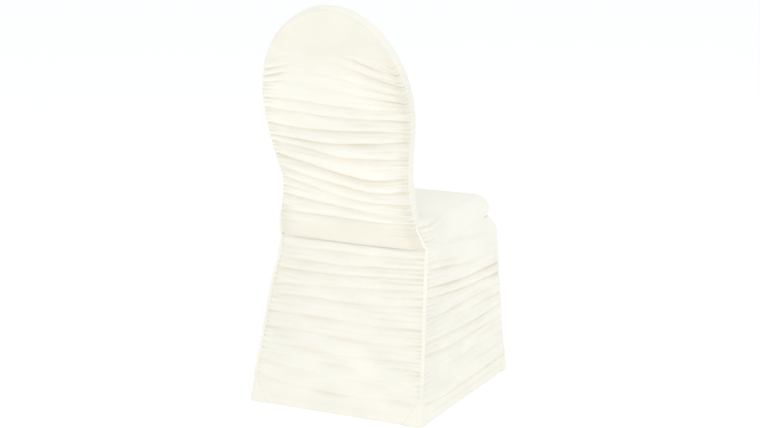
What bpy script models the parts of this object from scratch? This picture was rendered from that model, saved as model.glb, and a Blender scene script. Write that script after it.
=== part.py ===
"""Ruched stretch cover for an oval-backed banquet chair, as its cut and sewn panels.

Lengths are in metres and +Z is up. The chair would face -Y, so its right side is at -X.
The origin is on the floor, at the middle of the cover's bounding box.
"""

import math
from collections import namedtuple

import bpy
from mathutils import Vector

MM = 0.001

# Cloth and seams. A fold keeps SEAM_DEPTH of its depth at a bound seam and fades over SEAM_REACH.
CLOTH = 2.0 * MM
SEAM_GAP = 0.3 * MM
EDGE_PULL = 0.45 * MM
SEAM_ANGLE = math.radians(45)
SEAM_DEPTH = 0.3
SEAM_REACH = 0.09

# Outline at the floor. The skirts are turned on the floor: their rear corners stand FLOOR_TURN to
# the left, and their front corners as far to the right.
FLOOR_HALF = 0.220
FLOOR_TURN = 4.0 * MM
FLOOR_REAR_Y = 0.2315
FLOOR_FRONT_Y = -0.2685
FLOOR_CORNER = 0.022
UPRIGHT_FOOT = 4.0 * MM
HEM_SHARE = 0.6
POCKET_LIFT = CLOTH + 0.5 * MM

# Seat
SEAT_TOP = 0.452
SEAT_REAR_HALF = 0.187
LEFT_PINCH = 5.0 * MM
LEFT_PINCH_LEVEL = 0.350
LEFT_PINCH_REACH = 0.070
SEAT_FRONT_HALF = 0.206
SEAT_FRONT_Y = -0.2035
SEAT_CORNER = 0.048
SEAT_REAR_Y = 0.1235
SEAT_CROWN = 4.0 * MM
SEAT_CROWN_POWER = 0.7
SEAT_FRONT_POWER = 4
CUSHION_BULGE = 4.0 * MM
CUSHION_FRONT_SHARE = 0.5
SEAT_ROUND_FRONT = 0.030
SEAT_ROUND_REAR_LEFT = 0.012
SEAT_ROUND_REAR_RIGHT = 0.024
SEAT_ROUND_SPREAD = 1.6
SEAT_ARC = (30, 60, 90)
SEAT_SIDE_ROWS = ((0.45, 0.8), (0.0, 0.0))
TONGUE_GAP = 0.7 * MM
SKIRT_SWELL = 0.016
SKIRT_SWELL_LEVEL = 0.368
SWELL_CORNER = 0.028

# Leaning back, measured up its rear plane from the foot of the band
BAND_FOOT_Y = 0.1455
BAND_FOOT_Z = 0.387
BAND_TALL = 0.028
LEAN = math.radians(13.1)
WAIST_RISE = 0.150
WAIST_LEFT = 0.160
WAIST_RIGHT = 0.157
FOOT_HALF = 0.1845
WIDEST_RISE = 0.330
WIDEST_LEFT = 0.185
WIDEST_RIGHT = 0.178
SHOULDER_LEFT = 1.7
SHOULDER_RIGHT = 0.0
CROWN_RISE = 0.230
CROWN_CORNER = math.radians(50)
BACK_DEPTH = 0.038
REAR_ROUND = 0.010
FRONT_ROUND = 0.013
BACK_PADDING = 5.0 * MM
PUFF = 2.0 * MM
REAR_ARC = (22, 40, 45)
FRONT_ARC = (30, 60, 90)
WRAP_ARC = (90, 68, 49, 45)

# Head of the rear skirt, drawn in and forward under the band of the back
TUCK_DROP = 3.0 * MM
TUCK_GAP = 0.5 * MM
TUCK_PULL = 0.013
TUCK_START = 0.017
TUCK_REACH = 0.014

# Rear corner bindings and foot pockets
BINDING = 4.3 * MM
BINDING_TOP = 2.8 * MM
BINDING_INSET = 1.0 * MM
BINDING_GAP = 0.6 * MM
BINDING_FOOT_Z = 0.057
BINDING_HEAD_Z = SEAT_TOP - 4.0 * MM
BINDING_STEP = 0.0092
BINDING_NECK = 0.92
BINDING_TAPER = 0.020
BINDING_TAPER_DROP = 0.028
CORNER_PULL = BINDING + 1.45 * MM
POCKET_TALL = 0.055
POCKET_END_TALL = 6.0 * MM
POCKET_REACH = 0.046
POCKET_SOLE = 0.012
POCKET_ROUND = 0.007
POCKET_SHARE = 0.18
POCKET_TURNS = 4

LEAN_SIN = math.sin(LEAN)
LEAN_COS = math.cos(LEAN)
LEAN_TAN = math.tan(LEAN)
SEAM_SIN = math.sin(SEAM_ANGLE)

IVORY = (0.93, 0.90, 0.80)
ROUGHNESS = 0.75

# Creases in millimetres: height at the start, middle and end of the panel, then depth there.
# A rear panel starts at its left seam as seen from behind, a side panel at its rear seam.
Crease = namedtuple("Crease", "start middle end start_depth middle_depth end_depth")

BACK_CREASES = (
    Crease(451, 444, 448, 5, 6, 4),
    Crease(490, 472, 459, 5, 6, 3),
    Crease(534, 497, 492, 5, 4, 6),
    Crease(556, 524, 524, 5, 6, 5),
    Crease(588, 552, 556, 6, 8, 5),
    Crease(617, 591, 600, 5, 5, 4),
    Crease(636, 624, 643, 4, 7, 5),
    Crease(663, 655, 666, 6, 6, 5),
    Crease(696, 687, 693, 4, 4, 5),
    Crease(723, 713, 717, 5, 4, 5),
    Crease(757, 746, 733, 4, 1, 5),
    Crease(773, 783, 750, 3, 3, 6),
    Crease(791, 818, 770, 3, 2, 6),
    Crease(812, 842, 796, 0, 0, 4),
)
REAR_SKIRT_CREASES = (
    Crease(60, 43, 46, 4, 5, 4),
    Crease(94, 80, 88, 4, 3, 1),
    Crease(139, 132, 140, 3, 5, 4),
    Crease(176, 171, 175, 5, 5, 5),
    Crease(210, 209, 212, 6, 4, 5),
    Crease(250, 250, 262, 5, 5, 5),
    Crease(274, 284, 298, 4, 3, 4),
    Crease(309, 311, 324, 6, 4, 5),
    Crease(335, 332, 342, 5, 4, 5),
    Crease(360, 361, 364, 3, 3, 3),
)
SIDE_SKIRT_CREASES = (
    Crease(46, 35, 41, 4, 4, 3),
    Crease(100, 105, 105, 0, 2, 4),
    Crease(156, 142, 149, 4, 4, 5),
    Crease(181, 172, 178, 5, 5, 5),
    Crease(207, 208, 206, 2, 3, 5),
    Crease(235, 230, 231, 5, 4, 5),
    Crease(279, 262, 256, 5, 5, 6),
    Crease(303, 285, 284, 4, 7, 7),
    Crease(340, 320, 318, 5, 3, 1),
)
FRONT_SKIRT_CREASES = tuple(
    Crease(height, height - 8, height, 5, 4, 5)
    for height in (44, 105, 150, 190, 230, 272, 316)
)
BACK_FRONT_CREASES = tuple(
    Crease(height, height - 9, height, 3, 2, 3) for height in range(520, 800, 68)
)

# Seam between the seat and the skirts, at the rear, middle and front of a side
SEAT_SEAM = (389, 396, 402)
REAR_SKIRT_HEAD = 397
BAND_FOOT = (390, 385, 387)

PUFF_REACH = 0.020
CREST = 0.42
PUFF_POWER = 0.7
FOLD_STEPS = (0.28, 0.66)
PLAIN_ROWS = 3

COLUMNS = (0.0, 0.04, 0.12, 0.20, 0.34, 0.50, 0.66, 0.80, 0.88, 0.96, 1.0)

# Stations along a side and the front: up to 1 is straight, and from 1 to 2 is half a corner
CORNER_STATIONS = (1.5, 1.92, 2.0)
SIDE_STATIONS = (0.0, 0.04, 0.115, 0.22, 0.40, 0.58, 0.76, 0.90, 1.0) + CORNER_STATIONS
HALF_FRONT = (0.0, 0.42, 0.84, 1.0) + CORNER_STATIONS
FRONT_STATIONS = tuple(reversed(HALF_FRONT[1:])) + tuple(-station for station in HALF_FRONT)
STRAIGHT_SHARE = 0.92

Row = namedtuple("Row", "heights reliefs")
Section = namedtuple("Section", "rear_half front_half rear_y front_y corner")


def mix(a, b, share):
    return a + (b - a) * share


def smooth(value):
    value = min(max(value, 0.0), 1.0)
    return value * value * (3.0 - 2.0 * value)


def along(values, t):
    """The value at t of the parabola through values at t = 0, 0.5 and 1."""
    start, middle, end = values
    return start * (1 - t) * (1 - 2 * t) + middle * 4 * t * (1 - t) + end * t * (2 * t - 1)


def puff_share(share, spacing):
    """How far a fold has risen from crease to crest, at a share of the way up to the next crease."""
    reach = min(spacing * CREST, PUFF_REACH)
    if share > CREST:
        share = 1.0 - share
        reach = min(spacing * (1 - CREST), PUFF_REACH)
    rise = min(share * spacing / reach, 1.0)
    return math.sin(rise * math.pi / 2) ** PUFF_POWER


def fold_rows(creases, crest=0.0):
    """Rows on each crease and across the rounded fold above it, up to the last crease."""
    rows = []
    for lower, upper in zip(creases, creases[1:] + creases[-1:]):
        steps = (0.0,) if lower is upper else (0.0,) + FOLD_STEPS
        for share in steps:
            heights = []
            reliefs = []
            for station in range(3):
                spacing = (upper[station] - lower[station]) * MM
                depth = mix(lower[station + 3], upper[station + 3], share) * MM
                fallen = 1.0 - (puff_share(share, spacing) if share else 0.0)
                heights.append(mix(lower[station], upper[station], share) * MM)
                reliefs.append(crest - depth * fallen)
            rows.append(Row(tuple(heights), tuple(reliefs)))
    return rows


def plain_rows(lower, upper, count):
    """Rows spread evenly from one row to the next, with the first and last left out."""
    rows = []
    for step in range(1, count + 1):
        share = step / (count + 1)
        heights = tuple(mix(a, b, share) for a, b in zip(lower.heights, upper.heights))
        reliefs = tuple(mix(a, b, smooth(share)) for a, b in zip(lower.reliefs, upper.reliefs))
        rows.append(Row(heights, reliefs))
    return rows


def flat_row(heights):
    """A row without relief at heights in millimetres."""
    return Row(tuple(height * MM for height in heights), (0.0,) * 3)


def lean_rise(z):
    return (z - BAND_FOOT_Z) / LEAN_COS


def lean_point(x, rise, out):
    """A point of the leaning back: x across, rise up the lean, out towards the rear."""
    y = BAND_FOOT_Y + rise * LEAN_SIN + out * LEAN_COS
    z = BAND_FOOT_Z + rise * LEAN_COS - out * LEAN_SIN
    return Vector((x, y, z))


def half_width(rise, side, inset=0.0):
    """Half width of the rear seam outline, side 1 on the left and -1 on the right."""
    widest = WIDEST_LEFT if side > 0 else WIDEST_RIGHT
    if rise >= WIDEST_RISE:
        share = (rise - WIDEST_RISE) / (CROWN_RISE - inset)
        return (widest - inset) * math.sqrt(max(1.0 - share * share, 0.0))
    waist = WAIST_LEFT if side > 0 else WAIST_RIGHT
    if rise >= WAIST_RISE:
        share = (rise - WAIST_RISE) / (WIDEST_RISE - WAIST_RISE)
        early = SHOULDER_LEFT if side > 0 else SHOULDER_RIGHT
        return mix(waist, widest, smooth(share) + early * share * (1 - share) ** 2) - inset
    fall = 1.0 - rise / WAIST_RISE
    flare = smooth(fall) if side > 0 else fall**3
    return mix(waist, FOOT_HALF, flare) - inset


def outline_normal(x, rise):
    """The outward direction of the back's outline, in the plane of the lean."""
    side = math.copysign(1.0, x)
    if rise >= WIDEST_RISE:
        widest = WIDEST_LEFT if side > 0 else WIDEST_RIGHT
        return Vector((x / widest**2, (rise - WIDEST_RISE) / CROWN_RISE**2)).normalized()
    slope = (half_width(rise + MM, side) - half_width(rise - MM, side)) / (2 * MM)
    return Vector((side, -slope)).normalized()


def grid_faces(rows, columns):
    faces = []
    for row in range(rows - 1):
        for column in range(columns - 1):
            corner = row * columns + column
            faces.append((corner, corner + 1, corner + columns + 1, corner + columns))
    return faces


def rim_path(rows, columns):
    """The grid's vertices down its first side, along its last row and back up its other side."""
    first = [row * columns for row in range(rows)]
    last = [(rows - 1) * columns + column for column in range(1, columns - 1)]
    other = [row * columns + columns - 1 for row in reversed(range(rows))]
    return first + last + other


def add_loops(points, faces, path, loops):
    """Joins further loops of points to a path of vertices, and returns the last loop's indices."""
    for loop in loops:
        start = len(points)
        points.extend(loop)
        for index in range(len(path) - 1):
            faces.append((path[index], path[index + 1], start + index + 1, start + index))
        path = range(start, start + len(loop))
    return list(path)


def cloth_material():
    material = bpy.data.materials.new("stretch_knit")
    material.use_nodes = True
    shader = material.node_tree.nodes["Principled BSDF"]
    shader.inputs["Base Color"].default_value = (*IVORY, 1.0)
    shader.inputs["Roughness"].default_value = ROUGHNESS
    shader.inputs["Metallic"].default_value = 0.0
    return material


def add_sheet(name, points, faces, inside, even=False):
    """An open surface given the cloth's thickness on the side where the point inside lies."""
    mesh = bpy.data.meshes.new(name)
    mesh.from_pydata([tuple(point) for point in points], [], faces)
    facing = sum(face.area * face.normal.dot(face.center - inside) for face in mesh.polygons)
    if facing < 0:
        mesh.flip_normals()
    mesh.shade_smooth()
    sheet = bpy.data.objects.new(name, mesh)
    mesh.materials.append(cloth_material())
    solidify = sheet.modifiers.new("cloth", "SOLIDIFY")
    solidify.thickness = CLOTH
    solidify.offset = -1.0
    solidify.use_even_offset = even
    bpy.data.collections["chair_cover"].objects.link(sheet)
    return sheet


def back_face_points(rows, inset, out):
    """The face of the back as (x, rise, out) from its rows, each from the left to the right seam."""
    points = []
    for row in rows:
        left = half_width(lean_rise(row.heights[0]), 1, inset)
        right = half_width(lean_rise(row.heights[2]), -1, inset)
        for t in COLUMNS:
            rise = lean_rise(along(row.heights, t))
            points.append((mix(left, -right, t), rise, out(t, rise) + along(row.reliefs, t)))
    return points


def crown_row(inset):
    """The last row of a face of the back, which is an arc of the crown."""
    end = WIDEST_RISE + (CROWN_RISE - inset) * math.sin(CROWN_CORNER)
    middle = WIDEST_RISE + CROWN_RISE - inset
    heights = [BAND_FOOT_Z + rise * LEAN_COS for rise in (end, middle, end)]
    return Row(tuple(heights), (0.0,) * 3)


def back_sheet(name, rows, face, profile, level_foot, inside):
    """A face of the back and its rim: profile holds (outset from the face's edge, out) pairs."""
    columns = len(COLUMNS)
    path = rim_path(len(rows), columns)
    edge_out = sum(face[index][2] for index in (0, columns - 1)) / 2
    loops = []
    for outset, out in profile:
        loop = []
        for index in path:
            x, rise, relief_out = face[index]
            normal = outline_normal(x, rise)
            fade = 1.0 - outset / profile[-1][0] if not level_foot else 0.0
            level = rise + normal.y * outset
            if level_foot:
                level += (out - edge_out) * LEAN_TAN * smooth(1.0 - rise / WAIST_RISE)
            loop.append(
                lean_point(x + normal.x * outset, level, out + (relief_out - edge_out) * fade)
            )
        loops.append(loop)
    points = [lean_point(*place) for place in face]
    faces = grid_faces(len(rows), columns)
    add_loops(points, faces, path, loops)
    return add_sheet(name, points, faces, inside)


def arc_angles(degrees, pull):
    """Angles around an edge, the last of which is held off the seam by the pull."""
    angles = [math.radians(value) for value in degrees]
    return angles[:-1] + [angles[-1] + pull]


def add_back_rear():
    """The ruched rear of the back, with the plain band at its foot."""
    band = [flat_row(BAND_FOOT), flat_row([height + BAND_TALL / MM for height in BAND_FOOT])]
    folds = fold_rows(BACK_CREASES, PUFF)
    inset = REAR_ROUND * SEAM_SIN
    crown = crown_row(inset)
    rows = band + folds + plain_rows(folds[-1], crown, PLAIN_ROWS) + [crown]
    face = back_face_points(rows, inset, lambda t, rise: 0.0)
    profile = []
    for angle in arc_angles(REAR_ARC, -EDGE_PULL / REAR_ROUND):
        profile.append((REAR_ROUND * math.sin(angle), REAR_ROUND * (math.cos(angle) - 1)))
    inside = lean_point(0.0, WIDEST_RISE, -BACK_DEPTH / 2)
    return back_sheet("back_rear_panel", rows, face, profile, False, inside)


def add_back_front():
    """The front of the back, which wraps the edge as far as the rear seam."""
    foot = SEAT_TOP + SEAM_GAP + CLOTH * LEAN_SIN
    proud = REAR_ROUND * (1 - SEAM_SIN)
    inset = FRONT_ROUND - proud
    crown = crown_row(inset)
    folds = fold_rows(BACK_FRONT_CREASES)
    base = Row((foot - BACK_DEPTH * LEAN_SIN,) * 3, (0.0,) * 3)
    rows = [base] + plain_rows(base, folds[0], PLAIN_ROWS + 1)
    rows += folds + plain_rows(folds[-1], crown, PLAIN_ROWS) + [crown]
    rows = [Row(row.heights, tuple(-relief for relief in row.reliefs)) for row in rows]

    def padding(t, rise):
        level = min(rise / (WIDEST_RISE + CROWN_RISE), 1.0)
        swell = math.sin(math.pi * t) * math.sin(math.pi * level)
        return -BACK_DEPTH - BACK_PADDING * max(swell, 0.0)

    face = back_face_points(rows, inset, padding)
    profile = []
    for angle in arc_angles(FRONT_ARC, 0.0):
        out = -BACK_DEPTH + FRONT_ROUND * (1 - math.cos(angle))
        profile.append((FRONT_ROUND * math.sin(angle), out))
    for angle in arc_angles(WRAP_ARC, EDGE_PULL / REAR_ROUND):
        outset = inset + REAR_ROUND * (math.sin(angle) - SEAM_SIN)
        profile.append((outset, REAR_ROUND * (math.cos(angle) - 1)))
    inside = lean_point(0.0, WIDEST_RISE, -BACK_DEPTH / 2)
    return back_sheet("back_front_panel", rows, face, profile, True, inside)


def skirt_section(z, side):
    """The outline of the skirts at a height, on a side: a straight run to a rounded front corner."""
    z = max(z, UPRIGHT_FOOT)
    rise = z / BAND_FOOT_Z
    rear_half = mix(FLOOR_HALF + FLOOR_TURN * side, SEAT_REAR_HALF, min(rise, 1.0))
    if side > 0:
        off = min(abs(z - LEFT_PINCH_LEVEL) / LEFT_PINCH_REACH, 1.0)
        rear_half -= LEFT_PINCH * (1 - off**2) ** 2
    tuck_z = BAND_FOOT_Z - TUCK_DROP
    if z < tuck_z:
        rear_y = mix(FLOOR_REAR_Y, BAND_FOOT_Y - TUCK_DROP, z / tuck_z)
    else:
        rear_y = BAND_FOOT_Y + (z - BAND_FOOT_Z) * LEAN_TAN - CLOTH - TUCK_GAP
    seam = SEAT_SEAM[2] * MM
    swell = smooth((seam - z) / (seam - SKIRT_SWELL_LEVEL))
    drop = min(z / SKIRT_SWELL_LEVEL, 1.0)
    front_half = mix(FLOOR_HALF - FLOOR_TURN * side, SEAT_FRONT_HALF + SKIRT_SWELL * swell, drop)
    front_y = mix(FLOOR_FRONT_Y, SEAT_FRONT_Y - SKIRT_SWELL / 2 * swell, drop)
    corner = mix(FLOOR_CORNER, mix(SEAT_CORNER, SWELL_CORNER, swell), drop)
    return Section(rear_half, front_half, rear_y, front_y, corner)


def corner_angle(station, radius):
    """The angle turned at a station past 1, held back at the seam by the edge's pull."""
    angle = (abs(station) - 1.0) * math.pi / 4
    return angle - (EDGE_PULL / radius if abs(station) == 2.0 else 0.0)


def rear_place(station, z):
    """The point and outward direction on the rear skirt, from the left to the right seam."""
    left, right = skirt_section(z, 1), skirt_section(z, -1)
    tuck = smooth((z - BAND_FOOT_Z + TUCK_START) / TUCK_REACH)
    pull = mix(CORNER_PULL, TUCK_PULL, tuck)
    x = mix(left.rear_half - pull, pull - right.rear_half, station)
    return Vector((x, left.rear_y, z)), Vector((0.0, 1.0, 0.0))


def side_place(side, station, z):
    """The same on a side, from its rear seam to the seam at the middle of the front corner."""
    section = skirt_section(z, side)
    rear = Vector((section.rear_half, section.rear_y - CORNER_PULL, z))
    centre = Vector((section.front_half - section.corner, section.front_y + section.corner, z))
    if station <= 1.0:
        front = centre + Vector((section.corner, 0.0, 0.0))
        place = rear.lerp(front, station)
        run = front - rear
        normal = Vector((-run.y, run.x, 0.0)).normalized()
    else:
        angle = corner_angle(station, section.corner)
        normal = Vector((math.cos(angle), -math.sin(angle), 0.0))
        place = centre + normal * section.corner
    return Vector((place.x * side, place.y, z)), Vector((normal.x * side, normal.y, 0.0))


def front_place(station, z):
    """The same on the front, from station 2 at the left seam to -2 at the right seam."""
    side = math.copysign(1.0, station)
    section = skirt_section(z, side)
    centre = Vector((section.front_half - section.corner, section.front_y + section.corner, z))
    if abs(station) <= 1.0:
        return Vector((centre.x * station, section.front_y, z)), Vector((0.0, -1.0, 0.0))
    angle = corner_angle(station, section.corner)
    normal = Vector((math.sin(angle), -math.cos(angle), 0.0))
    place = centre + normal * section.corner
    return Vector((place.x * side, place.y, z)), Vector((normal.x * side, normal.y, 0.0))


def panel_share(station):
    """How far along a side panel a station lies, from 0 to 1."""
    if station <= 1.0:
        return station * STRAIGHT_SHARE
    return mix(STRAIGHT_SHARE, 1.0, station - 1.0)


def front_share(station):
    half = panel_share(abs(station)) / 2
    return 0.5 - math.copysign(half, station)


def seam_fade(t, start, end):
    """How much of a fold's depth is left near a panel's seams."""
    return mix(start, 1.0, smooth(t / SEAM_REACH)) * mix(end, 1.0, smooth((1 - t) / SEAM_REACH))


def skirt_sheet(name, creases, head, stations, place, share, seam_depth):
    """A ruched skirt panel from the floor to its head, with a plain hem band at its foot."""
    hem = flat_row((0.0,) * 3)
    first = creases[0]
    upright = Row((UPRIGHT_FOOT,) * 3, (0.0,) * 3)
    band = flat_row([height * HEM_SHARE for height in first[:3]])
    folds = fold_rows(creases)
    top = flat_row([height - SEAM_GAP / MM for height in head])
    rows = [hem, upright, band] + folds + plain_rows(folds[-1], top, PLAIN_ROWS) + [top]
    points = []
    for row in rows:
        for station in stations:
            t = share(station)
            z = along(row.heights, t)
            at_pocket = min(t, 1 - t) < POCKET_SHARE
            if row is hem and at_pocket:
                z = POCKET_LIFT
            point, normal = place(station, z)
            points.append(point + normal * along(row.reliefs, t) * seam_fade(t, *seam_depth))
    faces = grid_faces(len(rows), len(stations))
    return add_sheet(name, points, faces, Vector((0.0, 0.0, 0.2)))


def add_skirts():
    rear_head = (REAR_SKIRT_HEAD,) * 3
    skirt_sheet(
        "skirt_rear",
        REAR_SKIRT_CREASES,
        rear_head,
        COLUMNS,
        rear_place,
        lambda t: t,
        (SEAM_DEPTH, SEAM_DEPTH),
    )
    for name, side in (("skirt_left", 1), ("skirt_right", -1)):
        skirt_sheet(
            name,
            SIDE_SKIRT_CREASES,
            SEAT_SEAM,
            SIDE_STATIONS,
            lambda station, z, side=side: side_place(side, station, z),
            panel_share,
            (SEAM_DEPTH, 0.0),
        )
    front_head = (SEAT_SEAM[2],) * 3
    skirt_sheet(
        "skirt_front",
        FRONT_SKIRT_CREASES,
        front_head,
        FRONT_STATIONS,
        front_place,
        front_share,
        (0.0, 0.0),
    )


def seat_rim(side, station):
    """The seam outline, its outward direction, and the edge's radius and bulge, on a side."""
    t = panel_share(station)
    place, normal = side_place(side, station, along(SEAT_SEAM, t) * MM)
    rear_radius = SEAT_ROUND_REAR_LEFT if side > 0 else SEAT_ROUND_REAR_RIGHT
    radius = mix(rear_radius, SEAT_ROUND_FRONT, smooth(t * SEAT_ROUND_SPREAD))
    return place, normal, radius, CUSHION_BULGE * smooth(t)


def front_rim(station):
    place, normal = front_place(station, SEAT_SEAM[2] * MM)
    bulge = CUSHION_BULGE * mix(CUSHION_FRONT_SHARE, 1.0, smooth(abs(station) / 2))
    return place, normal, SEAT_ROUND_FRONT, bulge


def seat_stations():
    """Side stations from just under the front of the back to the corner seam."""
    rear = side_place(1, 0.0, SEAT_SEAM[0] * MM)[0].y
    front = side_place(1, 1.0, SEAT_SEAM[1] * MM)[0].y
    first = (rear - SEAT_REAR_Y) / (rear - front)
    return (first,) + tuple(station for station in SIDE_STATIONS if station > first + SIDE_STATIONS[1])


def add_seat():
    """The seat's top, its rounded edge and its sides, with a tongue behind each rear corner."""
    stations = seat_stations()
    left = [seat_rim(1, station) for station in stations]
    right = [seat_rim(-1, station) for station in stations]
    front = [front_rim(station) for station in FRONT_STATIONS[1:-1]]
    columns = len(front) + 2

    def edge(rim):
        place, normal, radius, bulge = rim
        top = place - normal * (radius - bulge)
        return Vector((top.x, top.y, SEAT_TOP))

    last = [edge(rim) for rim in [left[-1]] + front + [right[-1]]]
    points = []
    for index, (one, other) in enumerate(zip(left, right)):
        start, end = edge(one), edge(other)
        progress = index / (len(left) - 1)
        for column in range(columns):
            t = (last[0].x - last[column].x) / (last[0].x - last[-1].x)
            point = start.lerp(end, t)
            point.y += (last[column].y - last[0].y) * progress**SEAT_FRONT_POWER
            swell = math.sin(math.pi * t) * math.sin(math.pi * progress)
            point.z += SEAT_CROWN * max(swell, 0.0) ** SEAT_CROWN_POWER
            points.append(point)
    faces = grid_faces(len(left), columns)
    path = rim_path(len(left), columns)
    rims = left + front + right[::-1]
    shares = [panel_share(station) for station in stations]
    shares = shares + [1.0] * len(front) + shares[::-1]
    loops = []
    for angle in arc_angles(SEAT_ARC, 0.0):
        loop = []
        for place, normal, radius, bulge in rims:
            point = place + normal * (bulge - radius * (1 - math.sin(angle)))
            loop.append(Vector((point.x, point.y, SEAT_TOP - radius * (1 - math.cos(angle)))))
        loops.append(loop)
    for rise, share in SEAT_SIDE_ROWS:
        loop = []
        for (place, normal, radius, bulge), t in zip(rims, shares):
            point = place + normal * bulge * share
            seam = along(SEAT_SEAM, t) * MM
            z = mix(seam + SEAM_GAP, SEAT_TOP - radius, rise)
            loop.append(Vector((point.x, point.y, z)))
        loops.append(loop)
    add_loops(points, faces, path, loops)
    add_tongues(points, faces, path, loops)
    return add_sheet("seat_panel", points, faces, Vector((0.0, 0.0, 0.3)))


def add_tongues(points, faces, path, loops):
    """Carries the ends of the seat's loops back to the rear corner seams, beside the back."""
    size = len(path)
    grid = len(points) - size * len(loops)
    for side, end in ((1, 0), (-1, size - 1)):
        edges = [path[end]] + [grid + number * size + end for number in range(len(loops))]
        for share in (0.5, 1.0):
            added = []
            for index in edges:
                start = points[index]
                corner = corner_line(min(start.z, BINDING_HEAD_Z), side)
                reach = binding_radius(start.z) + TONGUE_GAP
                target = Vector((corner.x + side * BINDING_INSET, corner.y - reach, start.z))
                added.append(len(points))
                points.append(start.lerp(target, share))
            for first in range(len(edges) - 1):
                quad = (edges[first], edges[first + 1], added[first + 1], added[first])
                faces.append(quad if side > 0 else quad[::-1])
            edges = added


def binding_radius(z):
    return mix(BINDING, BINDING_TOP, smooth((z - BAND_FOOT_Z + BINDING_TAPER_DROP) / BINDING_TAPER))


def corner_line(z, side):
    """The middle of a rear corner's binding at a height."""
    if z < BAND_FOOT_Z:
        section = skirt_section(z, side)
        x = (section.rear_half - BINDING_INSET) * side
        return Vector((x, section.rear_y - BINDING_INSET, z))
    reach = (BINDING_TOP + BINDING_GAP) * SEAM_SIN
    out = -REAR_ROUND * (1 - math.cos(SEAM_ANGLE)) - reach
    level = lean_rise(z) + out * LEAN_TAN
    normal = outline_normal(half_width(level, side) * side, level)
    rise = level - normal.y * reach
    x = half_width(rise, side) * side + normal.x * reach
    return lean_point(x, level, out)


def add_binding(name, side):
    """The gathered binding down a rear corner: a cord that swells at each gather."""
    curve = bpy.data.curves.new(name, "CURVE")
    curve.dimensions = "3D"
    curve.bevel_depth = 1.0
    curve.bevel_resolution = 2
    curve.use_fill_caps = True
    count = round((BINDING_HEAD_Z - BINDING_FOOT_Z) / BINDING_STEP)
    spline = curve.splines.new("POLY")
    spline.points.add(count)
    for index, point in enumerate(spline.points):
        z = mix(BINDING_FOOT_Z, BINDING_HEAD_Z, index / count)
        gather = 1.0 if index % 2 else BINDING_NECK
        point.co = (*corner_line(z, side), 1.0)
        point.radius = binding_radius(z) * gather
    curve.materials.append(cloth_material())
    binding = bpy.data.objects.new(name, curve)
    bpy.data.collections["chair_cover"].objects.link(binding)
    return binding


def pocket_row(runs, radius, side, front, heights):
    """A row around a corner: runs are distances from it and angles, on the way from x to y."""
    off = 2 * SEAM_GAP + CLOTH
    facing = -1.0 if front else 1.0
    row = []
    for (distance, angle), z in zip(runs, heights):
        section = skirt_section(z, side)
        corner_y = section.front_y if front else section.rear_y
        corner_x = section.front_half if front else section.rear_half
        slant = (section.front_half - section.rear_half) / (section.rear_y - section.front_y)
        if distance == radius:
            x = corner_x - radius + (radius + off) * math.sin(angle)
            y = radius - (radius + off) * math.cos(angle)
        elif angle == 0.0:
            x = corner_x - distance
            y = -off
        else:
            x = corner_x + off + (distance - radius) * slant * facing
            y = distance
        row.append(Vector((x * side, corner_y - facing * y, z)))
    return row


def add_pocket(name, side, front):
    """A corner patch that narrows up the seam, with a flat sole turned in under the hem."""
    radius = FLOOR_CORNER if front else POCKET_ROUND
    ends = (POCKET_REACH, mix(POCKET_REACH, radius, 0.5))
    turn = [step * math.pi / 2 / POCKET_TURNS for step in range(POCKET_TURNS + 1)]
    runs = [(distance, 0.0) for distance in ends] + [(radius, angle) for angle in turn]
    runs += [(distance, math.pi / 2) for distance in reversed(ends)]
    spread = POCKET_REACH - radius
    talls = [mix(POCKET_TALL, POCKET_END_TALL, (distance - radius) / spread) for distance, _ in runs]
    rows = []
    for level in (1.0, 0.5, 0.0):
        heights = [mix(UPRIGHT_FOOT, tall, level) for tall in talls]
        rows.append(pocket_row(runs, radius, side, front, heights))
    floor = pocket_row(runs, radius, side, front, [0.0] * len(runs))
    first = floor[0] - Vector((0.0, POCKET_SOLE * (-1.0 if front else 1.0), 0.0))
    last = floor[-1] - Vector((side * POCKET_SOLE, 0.0, 0.0))
    count = len(runs) - 1
    rows += [floor, [first.lerp(last, index / count) for index in range(count + 1)]]
    points = [point for row in rows for point in row]
    faces = grid_faces(len(rows), len(runs))
    return add_sheet(name, points, faces, Vector((0.0, 0.0, 0.2)), even=True)


def main():
    for obj in list(bpy.data.objects):
        bpy.data.objects.remove(obj)
    collection = bpy.data.collections.new("chair_cover")
    bpy.context.scene.collection.children.link(collection)
    add_back_rear()
    add_back_front()
    add_seat()
    add_skirts()
    for name, side in (("left", 1), ("right", -1)):
        add_binding("corner_seam_rear_" + name, side)
        add_pocket("foot_pocket_rear_" + name, side, False)
        add_pocket("foot_pocket_front_" + name, side, True)


main()
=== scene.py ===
"""Looks of a ruched stretch cover on an oval-backed banquet chair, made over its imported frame.

Lengths are in metres and +Z is up. The seat faces -Y, and the ruched back faces +Y.
The tables of creases, ripples and seam heights are in millimetres.
"""

import math
import random
from collections import namedtuple
from functools import partial

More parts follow.
